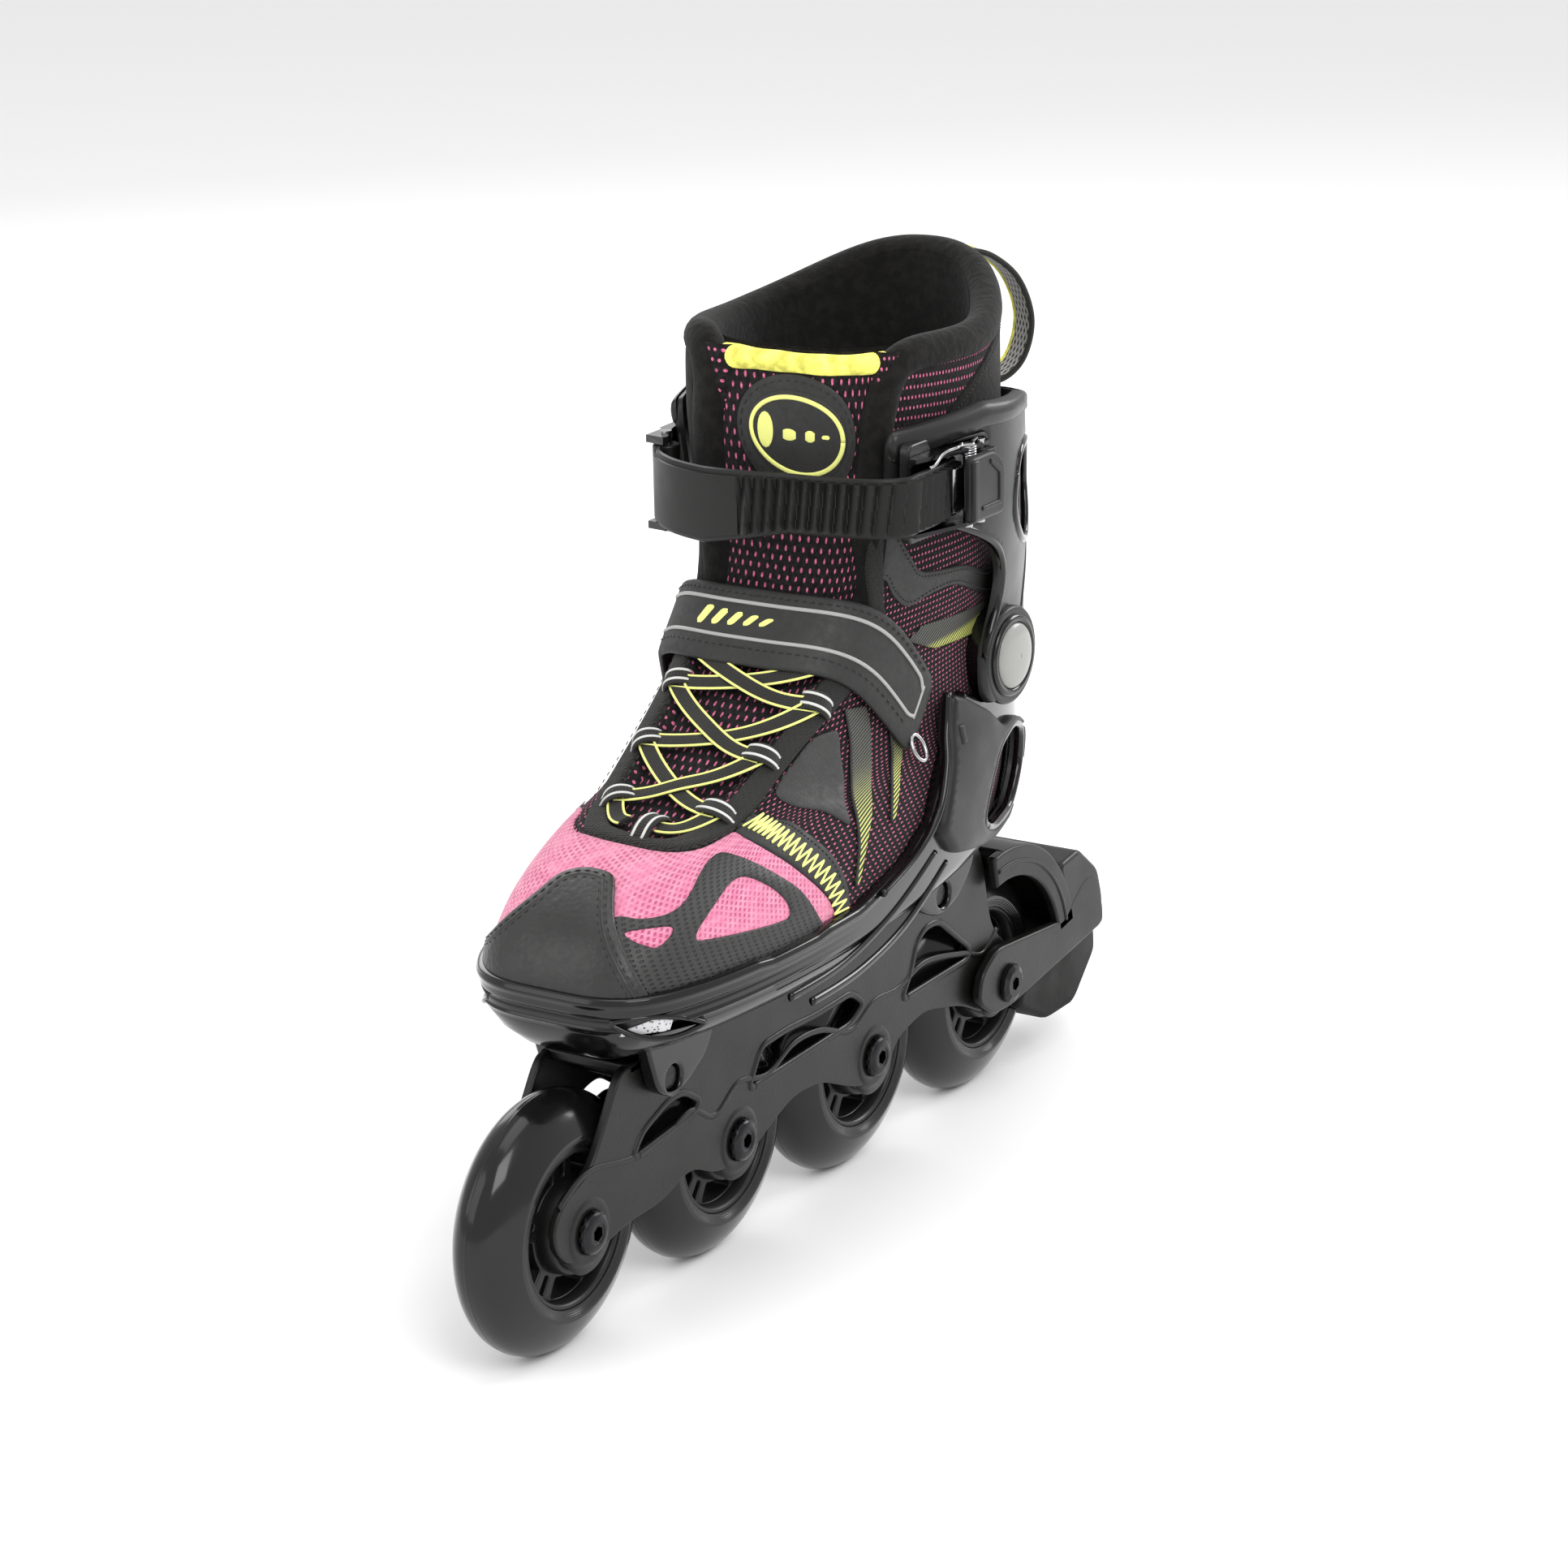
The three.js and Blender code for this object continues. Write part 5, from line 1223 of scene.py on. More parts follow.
edge_t = (1 - np.cos(np.linspace(0, np.pi, 15))) / 2
shape_t = np.concatenate([edge_t, edge_t[::-1][1:-1]])
shape_off = np.concatenate([2.5 + 1.9 * np.sin(np.linspace(0, np.pi, 15)) ** 0.5,
                            2.5 - 1.3 * np.sin(np.linspace(0, np.pi, 15)[1:-1]) ** 0.5])
phis = np.linspace(-STRAP_TURN, STRAP_TURN, 241)
phi_grid, t_grid = np.meshgrid(phis, shape_t, indexing="ij")
ends = np.clip((STRAP_TURN - np.abs(phi_grid)) / 0.06, 0, 1) ** 0.5
strap_mm = strap_place(np.stack([phi_grid.ravel(), 0.5 + (t_grid.ravel() - 0.5)
                                 * (0.82 + 0.18 * ends.ravel())], -1),
                       2.4 + (np.broadcast_to(shape_off, phi_grid.shape).ravel() - 2.4) * ends.ravel())
strap_faces = quads(241, len(shape_t), False, True)[:, ::-1]
instep = build("instep_strap_body", strap_mm, strap_faces, strap_cloth)
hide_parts("instep_strap")
follow_ankle(instep)
piping = moulded("pale_piping", (0.36, 0.36, 0.355), 0.4, 0.02, 900)
for tag, share in (("upper", 0.79), ("lower", 0.31)):
    line = np.stack([np.linspace(-1.42, 1.40, 260), share + 0 * np.linspace(0, 1, 260)], -1)
    line[:, 1] += (0.5 - share) * np.clip((np.abs(line[:, 0]) - 1.33) / 0.12, 0, 1) ** 2
    cord = bead(f"piping_{tag}", line, strap_place, 4.35, 0.62, 0.45, piping)
    follow_ankle(cord)
end_cord = bead("piping_end", np.stack([1.40 + 0 * np.linspace(0, 1, 30), np.linspace(0.34, 0.76, 30)], -1),
                strap_place, 4.2,
                0.5, 0.4, piping)
follow_ankle(end_cord)


def strap_row(name, share, material):
    """A row of stitches along the strap at a share of its width: 1 mm steps are about 0.02 radians."""
    line = np.stack([np.linspace(-1.3, 1.36, 500), share + 0 * np.linspace(0, 1, 500)], -1)
    path = strap_place(line, 4.15 + 0 * line[:, 0])
    reach = run_of(path)
    spots = np.interp(np.arange(0, reach[-1], 2.7), reach, line[:, 0])
    span = 1.7 * np.gradient(line[:, 0], reach)
    each = spots[:, None] + STITCH_AT * np.interp(spots, line[:, 0], span)[:, None]
    return capsules(name, np.stack([each, share + 0 * each], -1), strap_place, 4.28, 1.0, 0.24, 0.0,
                    material)


follow_ankle(strap_row("strap_stitching_upper", 0.91, black_thread))
follow_ankle(strap_row("strap_stitching_lower", 0.19, black_thread))


def strap_mm_place(flat, off):
    """Millimetres along and across the strap's face from the middle of its toe line."""
    tau = np.interp(flat[:, 0] + unrolled(turn_of(-4), 0.7)[0], ROUND_MM, ROUND_TAU)
    return strap_place(np.stack([tau * np.abs(tau), 0.55 + flat[:, 1] / 25.0], -1), off)


for i in range(5):
    lean, wide, tall = 1.7, 1.5, 3.4 - 0.45 * i
    middle = -6.4 + 5.4 * i
    bar = np.array([(middle - wide - lean, -tall), (middle + wide - lean, -tall),
                    (middle + wide + lean, tall),
                    (middle - wide + lean, tall)])
    made = patch(f"strap_mark_{i}", fillet(bar, 0.9), lime_thread, 4.2, 0.35, 0.3, pitch=1.4,
                 put=strap_mm_place)
    follow_ankle(made)

steel = Shader("polished_steel", (0.42, 0.42, 0.43), 0.16, 1.0)
steel.set("Roughness", steel.spread(steel.noise(400, 4), 0.3, 0.7, 0.1, 0.26))
ring_out = on_boot(np.sqrt(1.44), 0.37)[1]
ring_middle = ring_point(np.sqrt(1.49), 0.40, 5.0)
turn_a = np.linspace(0, 2 * np.pi, 64, endpoint=False)
axis = ring_out / np.linalg.norm(ring_out)
side = np.cross(axis, [0, 0, 1.0])
side /= np.linalg.norm(side)
up_axis = np.cross(side, axis)
wire = ring_middle + 3.7 * (0.75 * np.cos(turn_a)[:, None] * side + 1.15 * np.sin(turn_a)[:, None] * up_axis)
spoke = (wire - ring_middle) / np.linalg.norm(wire - ring_middle, axis=1)[:, None]
b = np.linspace(0, 2 * np.pi, 16, endpoint=False)
torus = wire[:, None] + 0.7 * (np.cos(b)[None, :, None] * spoke[:, None] + np.sin(b)[None, :, None] * axis)
wire_ring = build("strap_wire_ring", torus.reshape(-1, 3), quads(64, 16, True, True), steel.mat)
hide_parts("strap_ring")
fasten([wire_ring], "chassis")


# ---------------------------------------------------------------- shell
# The glossy black nylon tray that the boot stands in. Its rim turns up round the toe, its sides rise to the
# ankle pivot in two matt wing plates, and ears under it take the frame's bolts.
gloss_nylon = moulded("gloss_nylon", (0.003, 0.003, 0.003), 0.15, 0.012, 700, coat=0.25)
satin_nylon = moulded("satin_nylon", (0.007, 0.007, 0.007), 0.42, 0.035, 1100)
SHELL_TOP = np.array([(-150, 140.5), (-74, 154), (-58, 160), (-47, 163.5), (-41, 143), (-30, 128),
                      (-10, 119), (20, 113.5), (60, 112), (90, 112.5), (120, 112), (160, 111.5)])
SOLE_LINE = np.array([(-200, 97.3), (-58, 97.3), (-44, 93), (-20, 88), (20, 85.4), (56, 84.3), (200, 84.3)])
HEEL_WINDOW = [(-66, 117), (-70, 127), (-80, 138), (-97, 141), (-112, 136), (-115, 124), (-104, 111),
               (-80, 111)]
SHELL_OUT = 3.9
ANKLE = (-84, 167)
MIDDLE_Y = -4


def rim_share(tau, off):
    """The height share at which the boot, grown by off, meets the rim line seen from the side."""
    v = np.linspace(0, 0.75, 150)[:, None]
    p = ring_point(tau[None], v, off)
    above = p[..., 2] > np.interp(p[..., 0], *SHELL_TOP.T)
    return v[np.argmax(above, 0), 0]


shell_taus = np.interp(np.linspace(ROUND_MM[0], ROUND_MM[-1], 641), ROUND_MM, ROUND_TAU)
top_share = rim_share(shell_taus, SHELL_OUT)
top_share = np.convolve(np.pad(top_share, 3, mode="edge"), np.ones(7) / 7, "valid")
rows = []
base_ring = ring_point(shell_taus, 0 * shell_taus, 3.0)
for scale, draw, z in ((0.0, 22, 82), (0.42, 22, 82), (0.5, 17, 86), (0.74, 7, 91), (0.9, 2.5, 95.5)):
    x = base_ring[:, 0]
    back = np.clip((20 - x) / 40, 0, 1)
    x = x - draw * np.clip(x / 40, -0.7, 1)
    rows.append(np.stack([x, base_ring[:, 1] * scale, np.maximum(z + 6 * back, np.interp(x, *SOLE_LINE.T))],
                         -1))
for r in np.linspace(0, 1, 70):
    v = top_share * r
    up_mm = v * UP_MM
    from_rim = (top_share - v) * UP_MM
    front = np.clip((base_ring[:, 0] - 20) / 70, 0, 1)
    lift = SHELL_OUT - 0.5 * np.exp(-((up_mm / 2.5) ** 2)) + 0.55 * np.exp(-(((from_rim - 1.8) / 1.3) ** 2))
    lift = lift + front * (0.7 * np.exp(-(((up_mm - 4.6) / 1.0) ** 2)) - 0.55
                           * np.exp(-(((up_mm - 9.5) / 1.1) ** 2)))
    rows.append(ring_point(shell_taus, v, 0) + on_boot(shell_taus, v)[1] * lift[:, None])
for a in np.linspace(0.25, 1, 5) * np.pi / 2:
    v = top_share + 1.1 / UP_MM * np.sin(a)
    rows.append(on_boot(shell_taus, v, SHELL_OUT - 3.4 * (1 - np.cos(a)) + 0 * v)[0])
rows.append(on_boot(shell_taus, top_share - 0.03, 0.3 + 0 * top_share)[0])
shell_mm = np.stack(rows)


def vent_lens(half, tall):
    """A leaf between two quadratic arcs, as (along, up)."""
    t = np.linspace(0, 1, 17)[:, None]
    a, b = np.array([-half, -tall * 0.5]), np.array([half, tall * 0.7])
    top = (1 - t) ** 2 * a + 2 * t * (1 - t) * np.array([0, tall * 1.7]) + t**2 * b
    low = (1 - t) ** 2 * b + 2 * t * (1 - t) * np.array([0, -tall * 1.7]) + t**2 * a
    return np.vstack([top[:-1], low[:-1]])


def vent_local(points, x, y, turn):
    """Points seen square to a vent: millimetres along it and above its middle, and how far in front."""
    way = np.radians(turn)
    dx, dy = points[..., 0] - x, points[..., 1] - y
    along = (-np.sin(way) * dx + np.cos(way) * dy) * (1 if turn > 0 else -1)
    return np.stack([-along, points[..., 2] - VENT_UP], -1), np.cos(way) * dx + np.sin(way) * dy


VENT_UP = 102.5
VENT_HALF, VENT_TALL = 14.6, 4.0
VENTS = {"left": (109, 33.5, 45), "right": (107, -29.5, -48)}
faces = quads(*shell_mm.shape[:2])
flat_mm = shell_mm.reshape(-1, 3)
middle = flat_mm[faces].mean(1)
gone = inside(middle[:, [0, 2]], even(fillet(HEEL_WINDOW, 6), 1.0))
for x, y, turn in VENTS.values():
    local, front = vent_local(middle, x, y, turn)
    gone |= inside(local, vent_lens(VENT_HALF, VENT_TALL)) & (front > -14)
tray = build("shell_tray", flat_mm, faces[~gone], gloss_nylon)
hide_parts("shell")
fasten([tray], "chassis")


def side_flat(points, sign, off, put_heel=False):
    """Unrolled millimetres of points seen from the side as (x, z), on the boot grown by off: the nearest of
    a fine grid of turns and heights, then four Newton steps."""
    target = np.asarray(points, float)
    taus, shares = np.meshgrid(np.linspace(0.05, 1.765, 220) * sign, np.linspace(0, 1.04, 210))
    seen = ring_point(taus, shares, off)[..., [0, 2]].reshape(-1, 2)
    best = np.argmin(((seen[None] - target[:, None]) ** 2).sum(-1), 1)
    tau, v = taus.ravel()[best], shares.ravel()[best]
    for _ in range(4):
        here = ring_point(tau, v, off)[:, [0, 2]]
        by_tau = (ring_point(tau + 0.002, v, off)[:, [0, 2]] - here) / 0.002
        by_v = (ring_point(tau, v + 0.002, off)[:, [0, 2]] - here) / 0.002
        det = by_tau[:, 0] * by_v[:, 1] - by_tau[:, 1] * by_v[:, 0]
        miss = target - here
        tau = tau + np.clip((miss[:, 0] * by_v[:, 1] - miss[:, 1] * by_v[:, 0]) / det, -0.02, 0.02)
        v = v + np.clip((by_tau[:, 0] * miss[:, 1] - by_tau[:, 1] * miss[:, 0]) / det, -0.02, 0.02)
    flat = unrolled(tau, v)
    if put_heel:
        flat[:, 0] -= sign * (ROUND_MM[-1] if sign > 0 else -ROUND_MM[0])
    return flat


WING_SIDE = [(-29, 124), (-41, 143.5), (-47.5, 163), (-58, 159.5), (-72, 152), (-86, 143), (-97, 143.4),
             (-112, 139), (-120, 130), (-117, 122), (-104, 108), (-80, 107), (-60, 110), (-40, 114)]
for tag, sign in (("left", 1), ("right", -1)):
    window = even(fillet(HEEL_WINDOW, 6), 1.2)
    wing_loop = side_flat(even(fillet(WING_SIDE, 3.5), 1.5), sign, 6)
    hole = side_flat(window, sign, 6)
    wing = patch(f"shell_wing_{tag}", wing_loop, satin_nylon, 2.5, 4.9, 1.7, holes=[hole], pitch=2.4)
    edge = bead(f"heel_window_edge_{tag}", hole, boot_place, 5.6, 1.5, 1.7, gloss_nylon, True)
    ridge = side_flat(even(curve_through([(-47, 163), (-42, 148), (-31, 131), (-14, 121.5), (10, 115.5)],
                                         6), 1.5, False),
                      sign, 5)
    rib = bead(f"shell_ridge_{tag}", ridge, boot_place, 5.2, 1.1, 1.5, gloss_nylon)
    slot_line = side_flat([(-50, 150 + t) for t in np.linspace(-4.5, 1.5, 7)], sign, 6)
    slot = bead(f"wing_slot_{tag}", slot_line, boot_place, 7.35, 1.9, 0.5, satin_nylon)
    fasten((wing, edge, rib, slot), "chassis")
    for k, line in enumerate(([(-30, 117), (0, 106), (30, 99), (60, 97)],
                              [(-40, 111), (-10, 99), (20, 93.5), (50, 92)])):
        flow = side_flat(even(curve_through(line, 8), 1.5, False), sign, 4)
        rib = bead(f"shell_flow_{tag}_{k}", flow, boot_place, 3.9, 1.3, 0.9, gloss_nylon)
        fasten([rib], "chassis")
    y = (16.2, 21.4) if sign > 0 else (-21.4, -16.2)
    front_ear = [(58, 92), (60, 88), (66, 78), (78, 71.5), (86, 70.5), (92, 74), (97, 88), (98, 92)]
    rear_ear = [(-46, 103), (-48, 99.5), (-50, 93), (-64, 82), (-74, 78), (-86, 81), (-95, 89),
                (-99, 99.5), (-100, 103)]
    for place_tag, outline, bolt in (("front", front_ear, (84, 76)), ("rear", rear_ear, (-76, 85))):
        ear = plate(f"ear_{place_tag}_{tag}", [fillet(outline, 4), circle(*bolt, 4.1)], *y, 1.3,
                    gloss_nylon)
        fasten([ear], "chassis")
    lobe_y = sorted((sign * 36 + MIDDLE_Y, sign * 42.3 + MIDDLE_Y))
    lobe = plate(f"shell_lobe_{tag}", [circle(*ANKLE, 14.6, 64)], *lobe_y, 0.8, gloss_nylon)
    fasten([lobe], "chassis")

vent_cloth = Shader("vent_cloth", (0.42, 0.42, 0.43), 0.6)
cells = vent_cloth.node("ShaderNodeTexVoronoi")
cells.inputs["Scale"].default_value = 900
vent_cloth.plug(cells.inputs["Vector"], vent_cloth.where)
holes_mask = vent_cloth.spread(cells.outputs["Distance"], 0.15, 0.4)
vent_cloth.set("Base Color", vent_cloth.mix(holes_mask, (0.10, 0.10, 0.10), (0.60, 0.60, 0.62)))
vent_cloth.bump(holes_mask, 0.2)


def keep(node, material, bevel=0.0):
    """A node whose shape is right keeps it: it gets a finer material, and when a bevel width is given its
    hard edges are eased.
    """
    obj = bpy.data.objects[node]
    for slot in obj.material_slots:
        slot.material = material
    if bevel:
        weld_doubles(obj)
        ease = obj.modifiers.new("ease", "BEVEL")
        ease.width, ease.segments, ease.limit_method = bevel / 1000, 2, "ANGLE"
        ease.angle_limit = np.radians(35)
        ease.harden_normals = True
    return obj


keep("toe_vent_left", vent_cloth.mat)
keep("toe_vent_right", vent_cloth.mat)
for tag, (x, y, turn) in VENTS.items():
    way = np.radians(turn)
    lens = even(vent_lens(VENT_HALF, VENT_TALL), 1.0)
    along = lens[:, 0] * (-1 if turn > 0 else 1)
    u = np.stack([x - np.sin(way) * along, y + np.cos(way) * along, VENT_UP + lens[:, 1]], -1)
    fine = np.linspace(0.02, 1.3, 400) * np.sign(y)
    ring = ring_point(fine, 0.02, 3.4)
    seen, front = vent_local(ring, x, y, turn)
    order = np.argsort(seen[:, 0])
    depth = np.interp(lens[:, 0], seen[order, 0], front[order])
    rim = u + np.stack([np.cos(way) * depth, np.sin(way) * depth, 0 * depth], -1)
    rim = np.vstack([rim, rim[:1]])
    out = np.tile([np.cos(way), np.sin(way), 0.0], (len(rim), 1))
    made = carried(f"vent_rim_{tag}", rim, out, oval(0.9, 1.0, 10), gloss_nylon)
    fasten([made], "chassis")
black_steel = Shader("black_steel", (0.03, 0.03, 0.032), 0.28, 1.0)
black_steel.set("Roughness", black_steel.spread(black_steel.noise(300, 4), 0.3, 0.7, 0.2, 0.4))
for node in ("shell_rivet_left", "shell_rivet_right", "mount_bolt_front", "mount_bolt_rear"):
    keep(node, black_steel.mat, 0.4)


# ---------------------------------------------------------------- frame
# Two glass-filled nylon rails with scalloped edges, joined by decks under the sole and webs between the
# wheels. Each axle goes through a raised boss on each side.
frame_nylon = moulded("frame_nylon", (0.0055, 0.0055, 0.005), 0.36, 0.05, 900)
RAIL = [(139, 47), (138, 39), (131, 32.5), (117, 32), (101, 35), (83, 35), (67, 40), (53, 33), (34, 32.5),
        (22, 38), (8, 43), (-8, 42), (-26, 34), (-34, 31.5), (-48, 31.5), (-56, 41), (-74, 44.5),
        (-99, 38), (-112, 31), (-126, 30), (-134, 36), (-134, 47), (-124, 55), (-118, 62), (-112, 88),
        (-104, 96.9), (-58, 96.9), (-48, 84), (-30, 78.5), (20, 80.3), (56, 83.9), (99, 83.9), (104, 82),
        (113, 68), (120, 58), (133, 54)]
RAIL_WINDOWS = [[(99, 54), (93, 61), (79, 66), (70, 66), (61, 60), (66, 57)],
                [(35, 54), (27, 66), (12, 66.5), (-6, 65.5), (-27, 66), (-35, 60), (-26, 55.5)],
                [(-58, 53), (-65, 62), (-68, 70), (-74, 73.5), (-83, 73), (-104, 57), (-102, 53.5)]]
BAR = [(136, 44), (121.5, 50), (101, 46.5), (84, 45.5), (67, 50), (54, 44), (40.5, 50), (24, 47), (8, 52),
       (-8, 51), (-26, 45), (-40.5, 50), (-56, 49.5), (-74, 53), (-99, 48), (-112, 44), (-121.5, 50)]
for tag, sign in (("left", 1), ("right", -1)):
    faces_y = sorted((sign * 12.5, sign * 15.5))
    rail = plate(f"rail_{tag}", [fillet(RAIL, 6)] + [fillet(w, 3.5) for w in RAIL_WINDOWS], *faces_y, 0.8,
                 frame_nylon)
    if sign > 0:
        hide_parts("frame")
    pieces = [rail]
    for i, window in enumerate(RAIL_WINDOWS):
        loop = even(fillet(window, 3.5), 1.0)
        loop = np.vstack([loop, loop[:1]])
        rim = np.stack([loop[:, 0], 0 * loop[:, 0] + sign * 15.2, loop[:, 1]], -1)
        out = np.tile([0, float(sign), 0], (len(rim), 1))
        pieces.append(carried(f"rail_window_rim_{tag}_{i}", rim, out, oval(1.3, 0.9, 12), frame_nylon))
    for i, x in enumerate(AXLES, 1):
        r = np.array([4.2, 9.2, 9.9, 10.6, 13.0, 4.2])
        y = sign * np.array([16.1, 16.1, 15.9, 15.3, 14.9, 14.9])
        profile = np.stack([r, y], -1)
        pieces.append(turned(f"boss_{tag}_{i}", facing(profile, sign), (x, WHEEL_R),
                             frame_nylon, 72))
    ridge = even(curve_through(BAR, 8), 1.2, False)
    ridge = np.stack([ridge[:, 0], 0 * ridge[:, 0] + sign * 15.3, ridge[:, 1] + 8.5], -1)
    out = np.tile([0, float(sign), 0], (len(ridge), 1))
    pieces.append(carried(f"rail_ridge_{tag}", ridge, out, oval(1.1, 0.7, 10), frame_nylon))
    fasten(pieces, "chassis")
for tag, box, edge in (("front_deck", (56, 99, 80.4, 84), 1.2), ("rear_deck", (-104, -60, 93.4, 97), 1.2)):
    x0, x1, z0, z1 = box
    deck = plate(tag, [fillet([(x0, z0), (x1, z0), (x1, z1), (x0, z1)], 1)], -15.5, 15.5, edge, frame_nylon)
    fasten([deck], "chassis")
for i, (x0, x1, z0, z1) in enumerate(((74, 88, 74, 80.6), (-7, 7, 70, 73), (-89, -72, 80, 84))):
    web = plate(f"frame_web_{i}", [fillet([(x0, z0), (x1, z0), (x1, z1), (x0, z1)], 1)], -13, 13, 0.8,
                frame_nylon)
    fasten([web], "chassis")


# ---------------------------------------------------------------- axles
# A steel axle through each wheel, screwed together from both sides: button heads with a hex socket.
# A near-black material for painted shadow inside the hex sockets.
socket_shade = moulded("socket_shadow", (0.004, 0.004, 0.004), 0.7)
for i, x in enumerate(AXLES, 1):
    keep(f"axle_{i}", black_steel.mat)
    keep(f"axle_bolt_{i}", black_steel.mat)
    keep(f"wheel_{i}_spacer", black_steel.mat)
    keep(f"wheel_{i}_bearing_left", steel.mat)
    keep(f"wheel_{i}_bearing_right", steel.mat)
    for tag, sign in (("left", 1), ("right", -1)):
        a = np.linspace(0, np.pi / 2, 9)
        r = np.concatenate([[0.01, 2.6, 2.75, 3.0], 3.6 + 3.0 * np.sin(a), [6.6, 0.01]])
        y = np.concatenate([[17.2, 17.2, 18.4, 18.75], 16.9 + 1.9 * np.cos(a), [16.12, 16.12]]) * sign
        profile = np.stack([r, y], -1)
        head = turned(f"axle_head_{tag}_{i}", facing(profile, sign), (x, WHEEL_R),
                      black_steel.mat, 48)
        # Painted shadow: a thin near-black hexagon in each head's recess stands for the dark depth of the
        # hex socket.
        hexed = np.array([(0.01, 17.25), (2.5, 17.25), (2.5, 17.3), (0.01, 17.3)]) * [1, sign]
        hole = turned(f"axle_socket_shade_{tag}_{i}", facing(hexed, -sign), (x, WHEEL_R),
                      socket_shade, 6)
        fasten((head, hole), "chassis")


# ---------------------------------------------------------------- brake
# The heel brake: a nylon housing on the rear axle with a fender over the wheel, and a rubber pad bolted
# under its end.
def arc_band(r0, r1, a0, a1, n=40):
    """A band between two radii and two angles about the rear axle."""
    a = np.radians(np.linspace(a0, a1, n))
    ring = np.stack([np.cos(a), np.sin(a)], -1)
    return np.vstack([ring * r1, ring[::-1] * r0]) + REAR_AXLE


ARM = [(-103, 48), (-101, 38.5), (-111, 31.5), (-124, 31), (-190, 40.5), (-190, 46), (-186, 60),
       (-176, 62), (-160, 50.5), (-114, 54.5)]
housing = []
for tag, sign in (("left", 1), ("right", -1)):
    faces_y = sorted((sign * 16.9, sign * 20.6))
    housing.append(plate(f"brake_arm_{tag}", [fillet(ARM, 4)], *faces_y, 1.1, frame_nylon))
    housing.append(plate(f"brake_cheek_{tag}", [arc_band(36.5, 47.5, 78, 170)], *faces_y, 1.1, frame_nylon))
    arc = np.radians(np.linspace(80, 166, 60))
    line = np.stack([REAR_AXLE[0] + 42 * np.cos(arc), 0 * arc + sign * 20.6,
                     REAR_AXLE[1] + 42 * np.sin(arc)], -1)
    out = np.tile([0, float(sign), 0], (60, 1))
    housing.append(carried(f"brake_ridge_{tag}", line, out, oval(0.8, 0.5, 10), frame_nylon))
    head = np.array([(0.01, 21.2), (3.0, 21.2), (3.1, 22.6), (5.2, 22.4), (6.4, 21.6), (6.6, 20.5),
                     (0.01, 20.5)]) * [1, sign]
    housing.append(turned(f"brake_axle_head_{tag}", facing(head, sign), REAR_AXLE,
                          black_steel.mat, 48))
housing.append(plate("brake_fender", [arc_band(43.8, 47.5, 86, 165)], -20.4, 20.4, 1.0, frame_nylon))
BLOCK = [(-162, 57), (-166, 46.4), (-190, 46.4), (-189.5, 52), (-186, 62), (-172, 73), (-158, 71)]
housing.append(plate("brake_block", [fillet(BLOCK, 3)], -20.5, 20.5, 1.6, frame_nylon))
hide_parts("brake_housing")
fasten(housing, "chassis")
pad_rubber = moulded("brake_rubber", (0.006, 0.006, 0.0055), 0.72, 0.09, 500)
PAD = [(-150, 41), (-137, 25), (-158, 13.5), (-180, 13.5), (-205, 24), (-203, 38), (-192, 46), (-168, 46)]
pad = plate("brake_rubber_pad", [fillet(PAD, 4)], -15.6, 15.6, 2.0, pad_rubber)


def drawn_in(points):
    """The pad's end narrows by up to 42 per cent over its last 31 mm."""
    share = np.clip((-176 - (points[:, 0] * 1000 - SHIFT[0])) / 31, 0, 1)
    points[:, 1] *= 1 - 0.42 * share
    return points


move_points(pad.data, drawn_in)
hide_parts("brake_pad")
fasten([pad], "chassis")
keep("brake_pad_bolt", steel.mat)


# ---------------------------------------------------------------- ankle cuff
# A moulded cuff hinged on the shell at both ankles. It wraps the heel, has a bevelled band along its top
# edge and a window with a strut on each side, and carries the buckle in a flat pocket on the outer side.
cuff_nylon = moulded("cuff_nylon", (0.015, 0.0155, 0.015), 0.33, 0.03, 1000)
CUFF_TOP = [(-21, 224), (-21, 250), (-60, 254), (-90, 252), (-115, 246)]
CUFF_BOTTOM = [(-104, 148.5), (-92, 152), (-76, 152), (-69, 158), (-68, 167), (-72, 176), (-77, 186),
               (-77, 197), (-71, 206), (-60, 212), (-40, 219)]
CUFF_WINDOW = [(-84, 233), (-96, 235), (-111, 231), (-117, 215), (-108, 200), (-96, 203), (-86, 210),
               (-81, 218)]
CUFF_OFF = 8.0


def heel_height(z):
    """The share of height at which the heel line of the grown boot is at z."""
    v = np.linspace(0, 1, 400)
    return np.interp(z, ring_point(np.sqrt(np.pi) - 0.001, v, CUFF_OFF)[:, 2], v) * UP_MM


HEEL_TOP = [[0, heel_height(240)]]
medial_top = [(-31, 221.5), (-31, 251), (-60, 254), (-90, 252), (-115, 246)]
medial_bottom = CUFF_BOTTOM[:-1] + [(-42, 218.5)]
left_top = side_flat(CUFF_TOP, 1, CUFF_OFF, True)
right_top = side_flat(medial_top, -1, CUFF_OFF, True)
left_bottom = side_flat(CUFF_BOTTOM, 1, CUFF_OFF, True)
right_bottom = side_flat(medial_bottom, -1, CUFF_OFF, True)
cuff_polygon = np.vstack([left_top, HEEL_TOP, right_top[::-1], right_bottom[::-1], [[0, heel_height(146)]],
                          left_bottom])
cuff_loop = even(fillet(cuff_polygon, 5), 1.4)
window_line = even(fillet(CUFF_WINDOW, 6), 1.2)
POCKET = [(-26, 218), (-61, 218), (-61, 244.5), (-26, 244.5)]
pocket_hole = side_flat(even(fillet(POCKET, 2.5), 1.2), 1, CUFF_OFF, True)
window_holes = {sign: side_flat(window_line, sign, CUFF_OFF, True) for sign in (1, -1)}
cuff_holes = [pocket_hole, *window_holes.values()]
cuff = patch("cuff_shell", cuff_loop, cuff_nylon, 5.3, 3.1, 1.6, holes=cuff_holes, pitch=2.6,
             put=heel_place)
cuff_inside = patch("cuff_inner_wall", cuff_loop, cuff_nylon, 5.25, 0.0, 0.4, holes=cuff_holes, pitch=4.5,
                    put=heel_place)
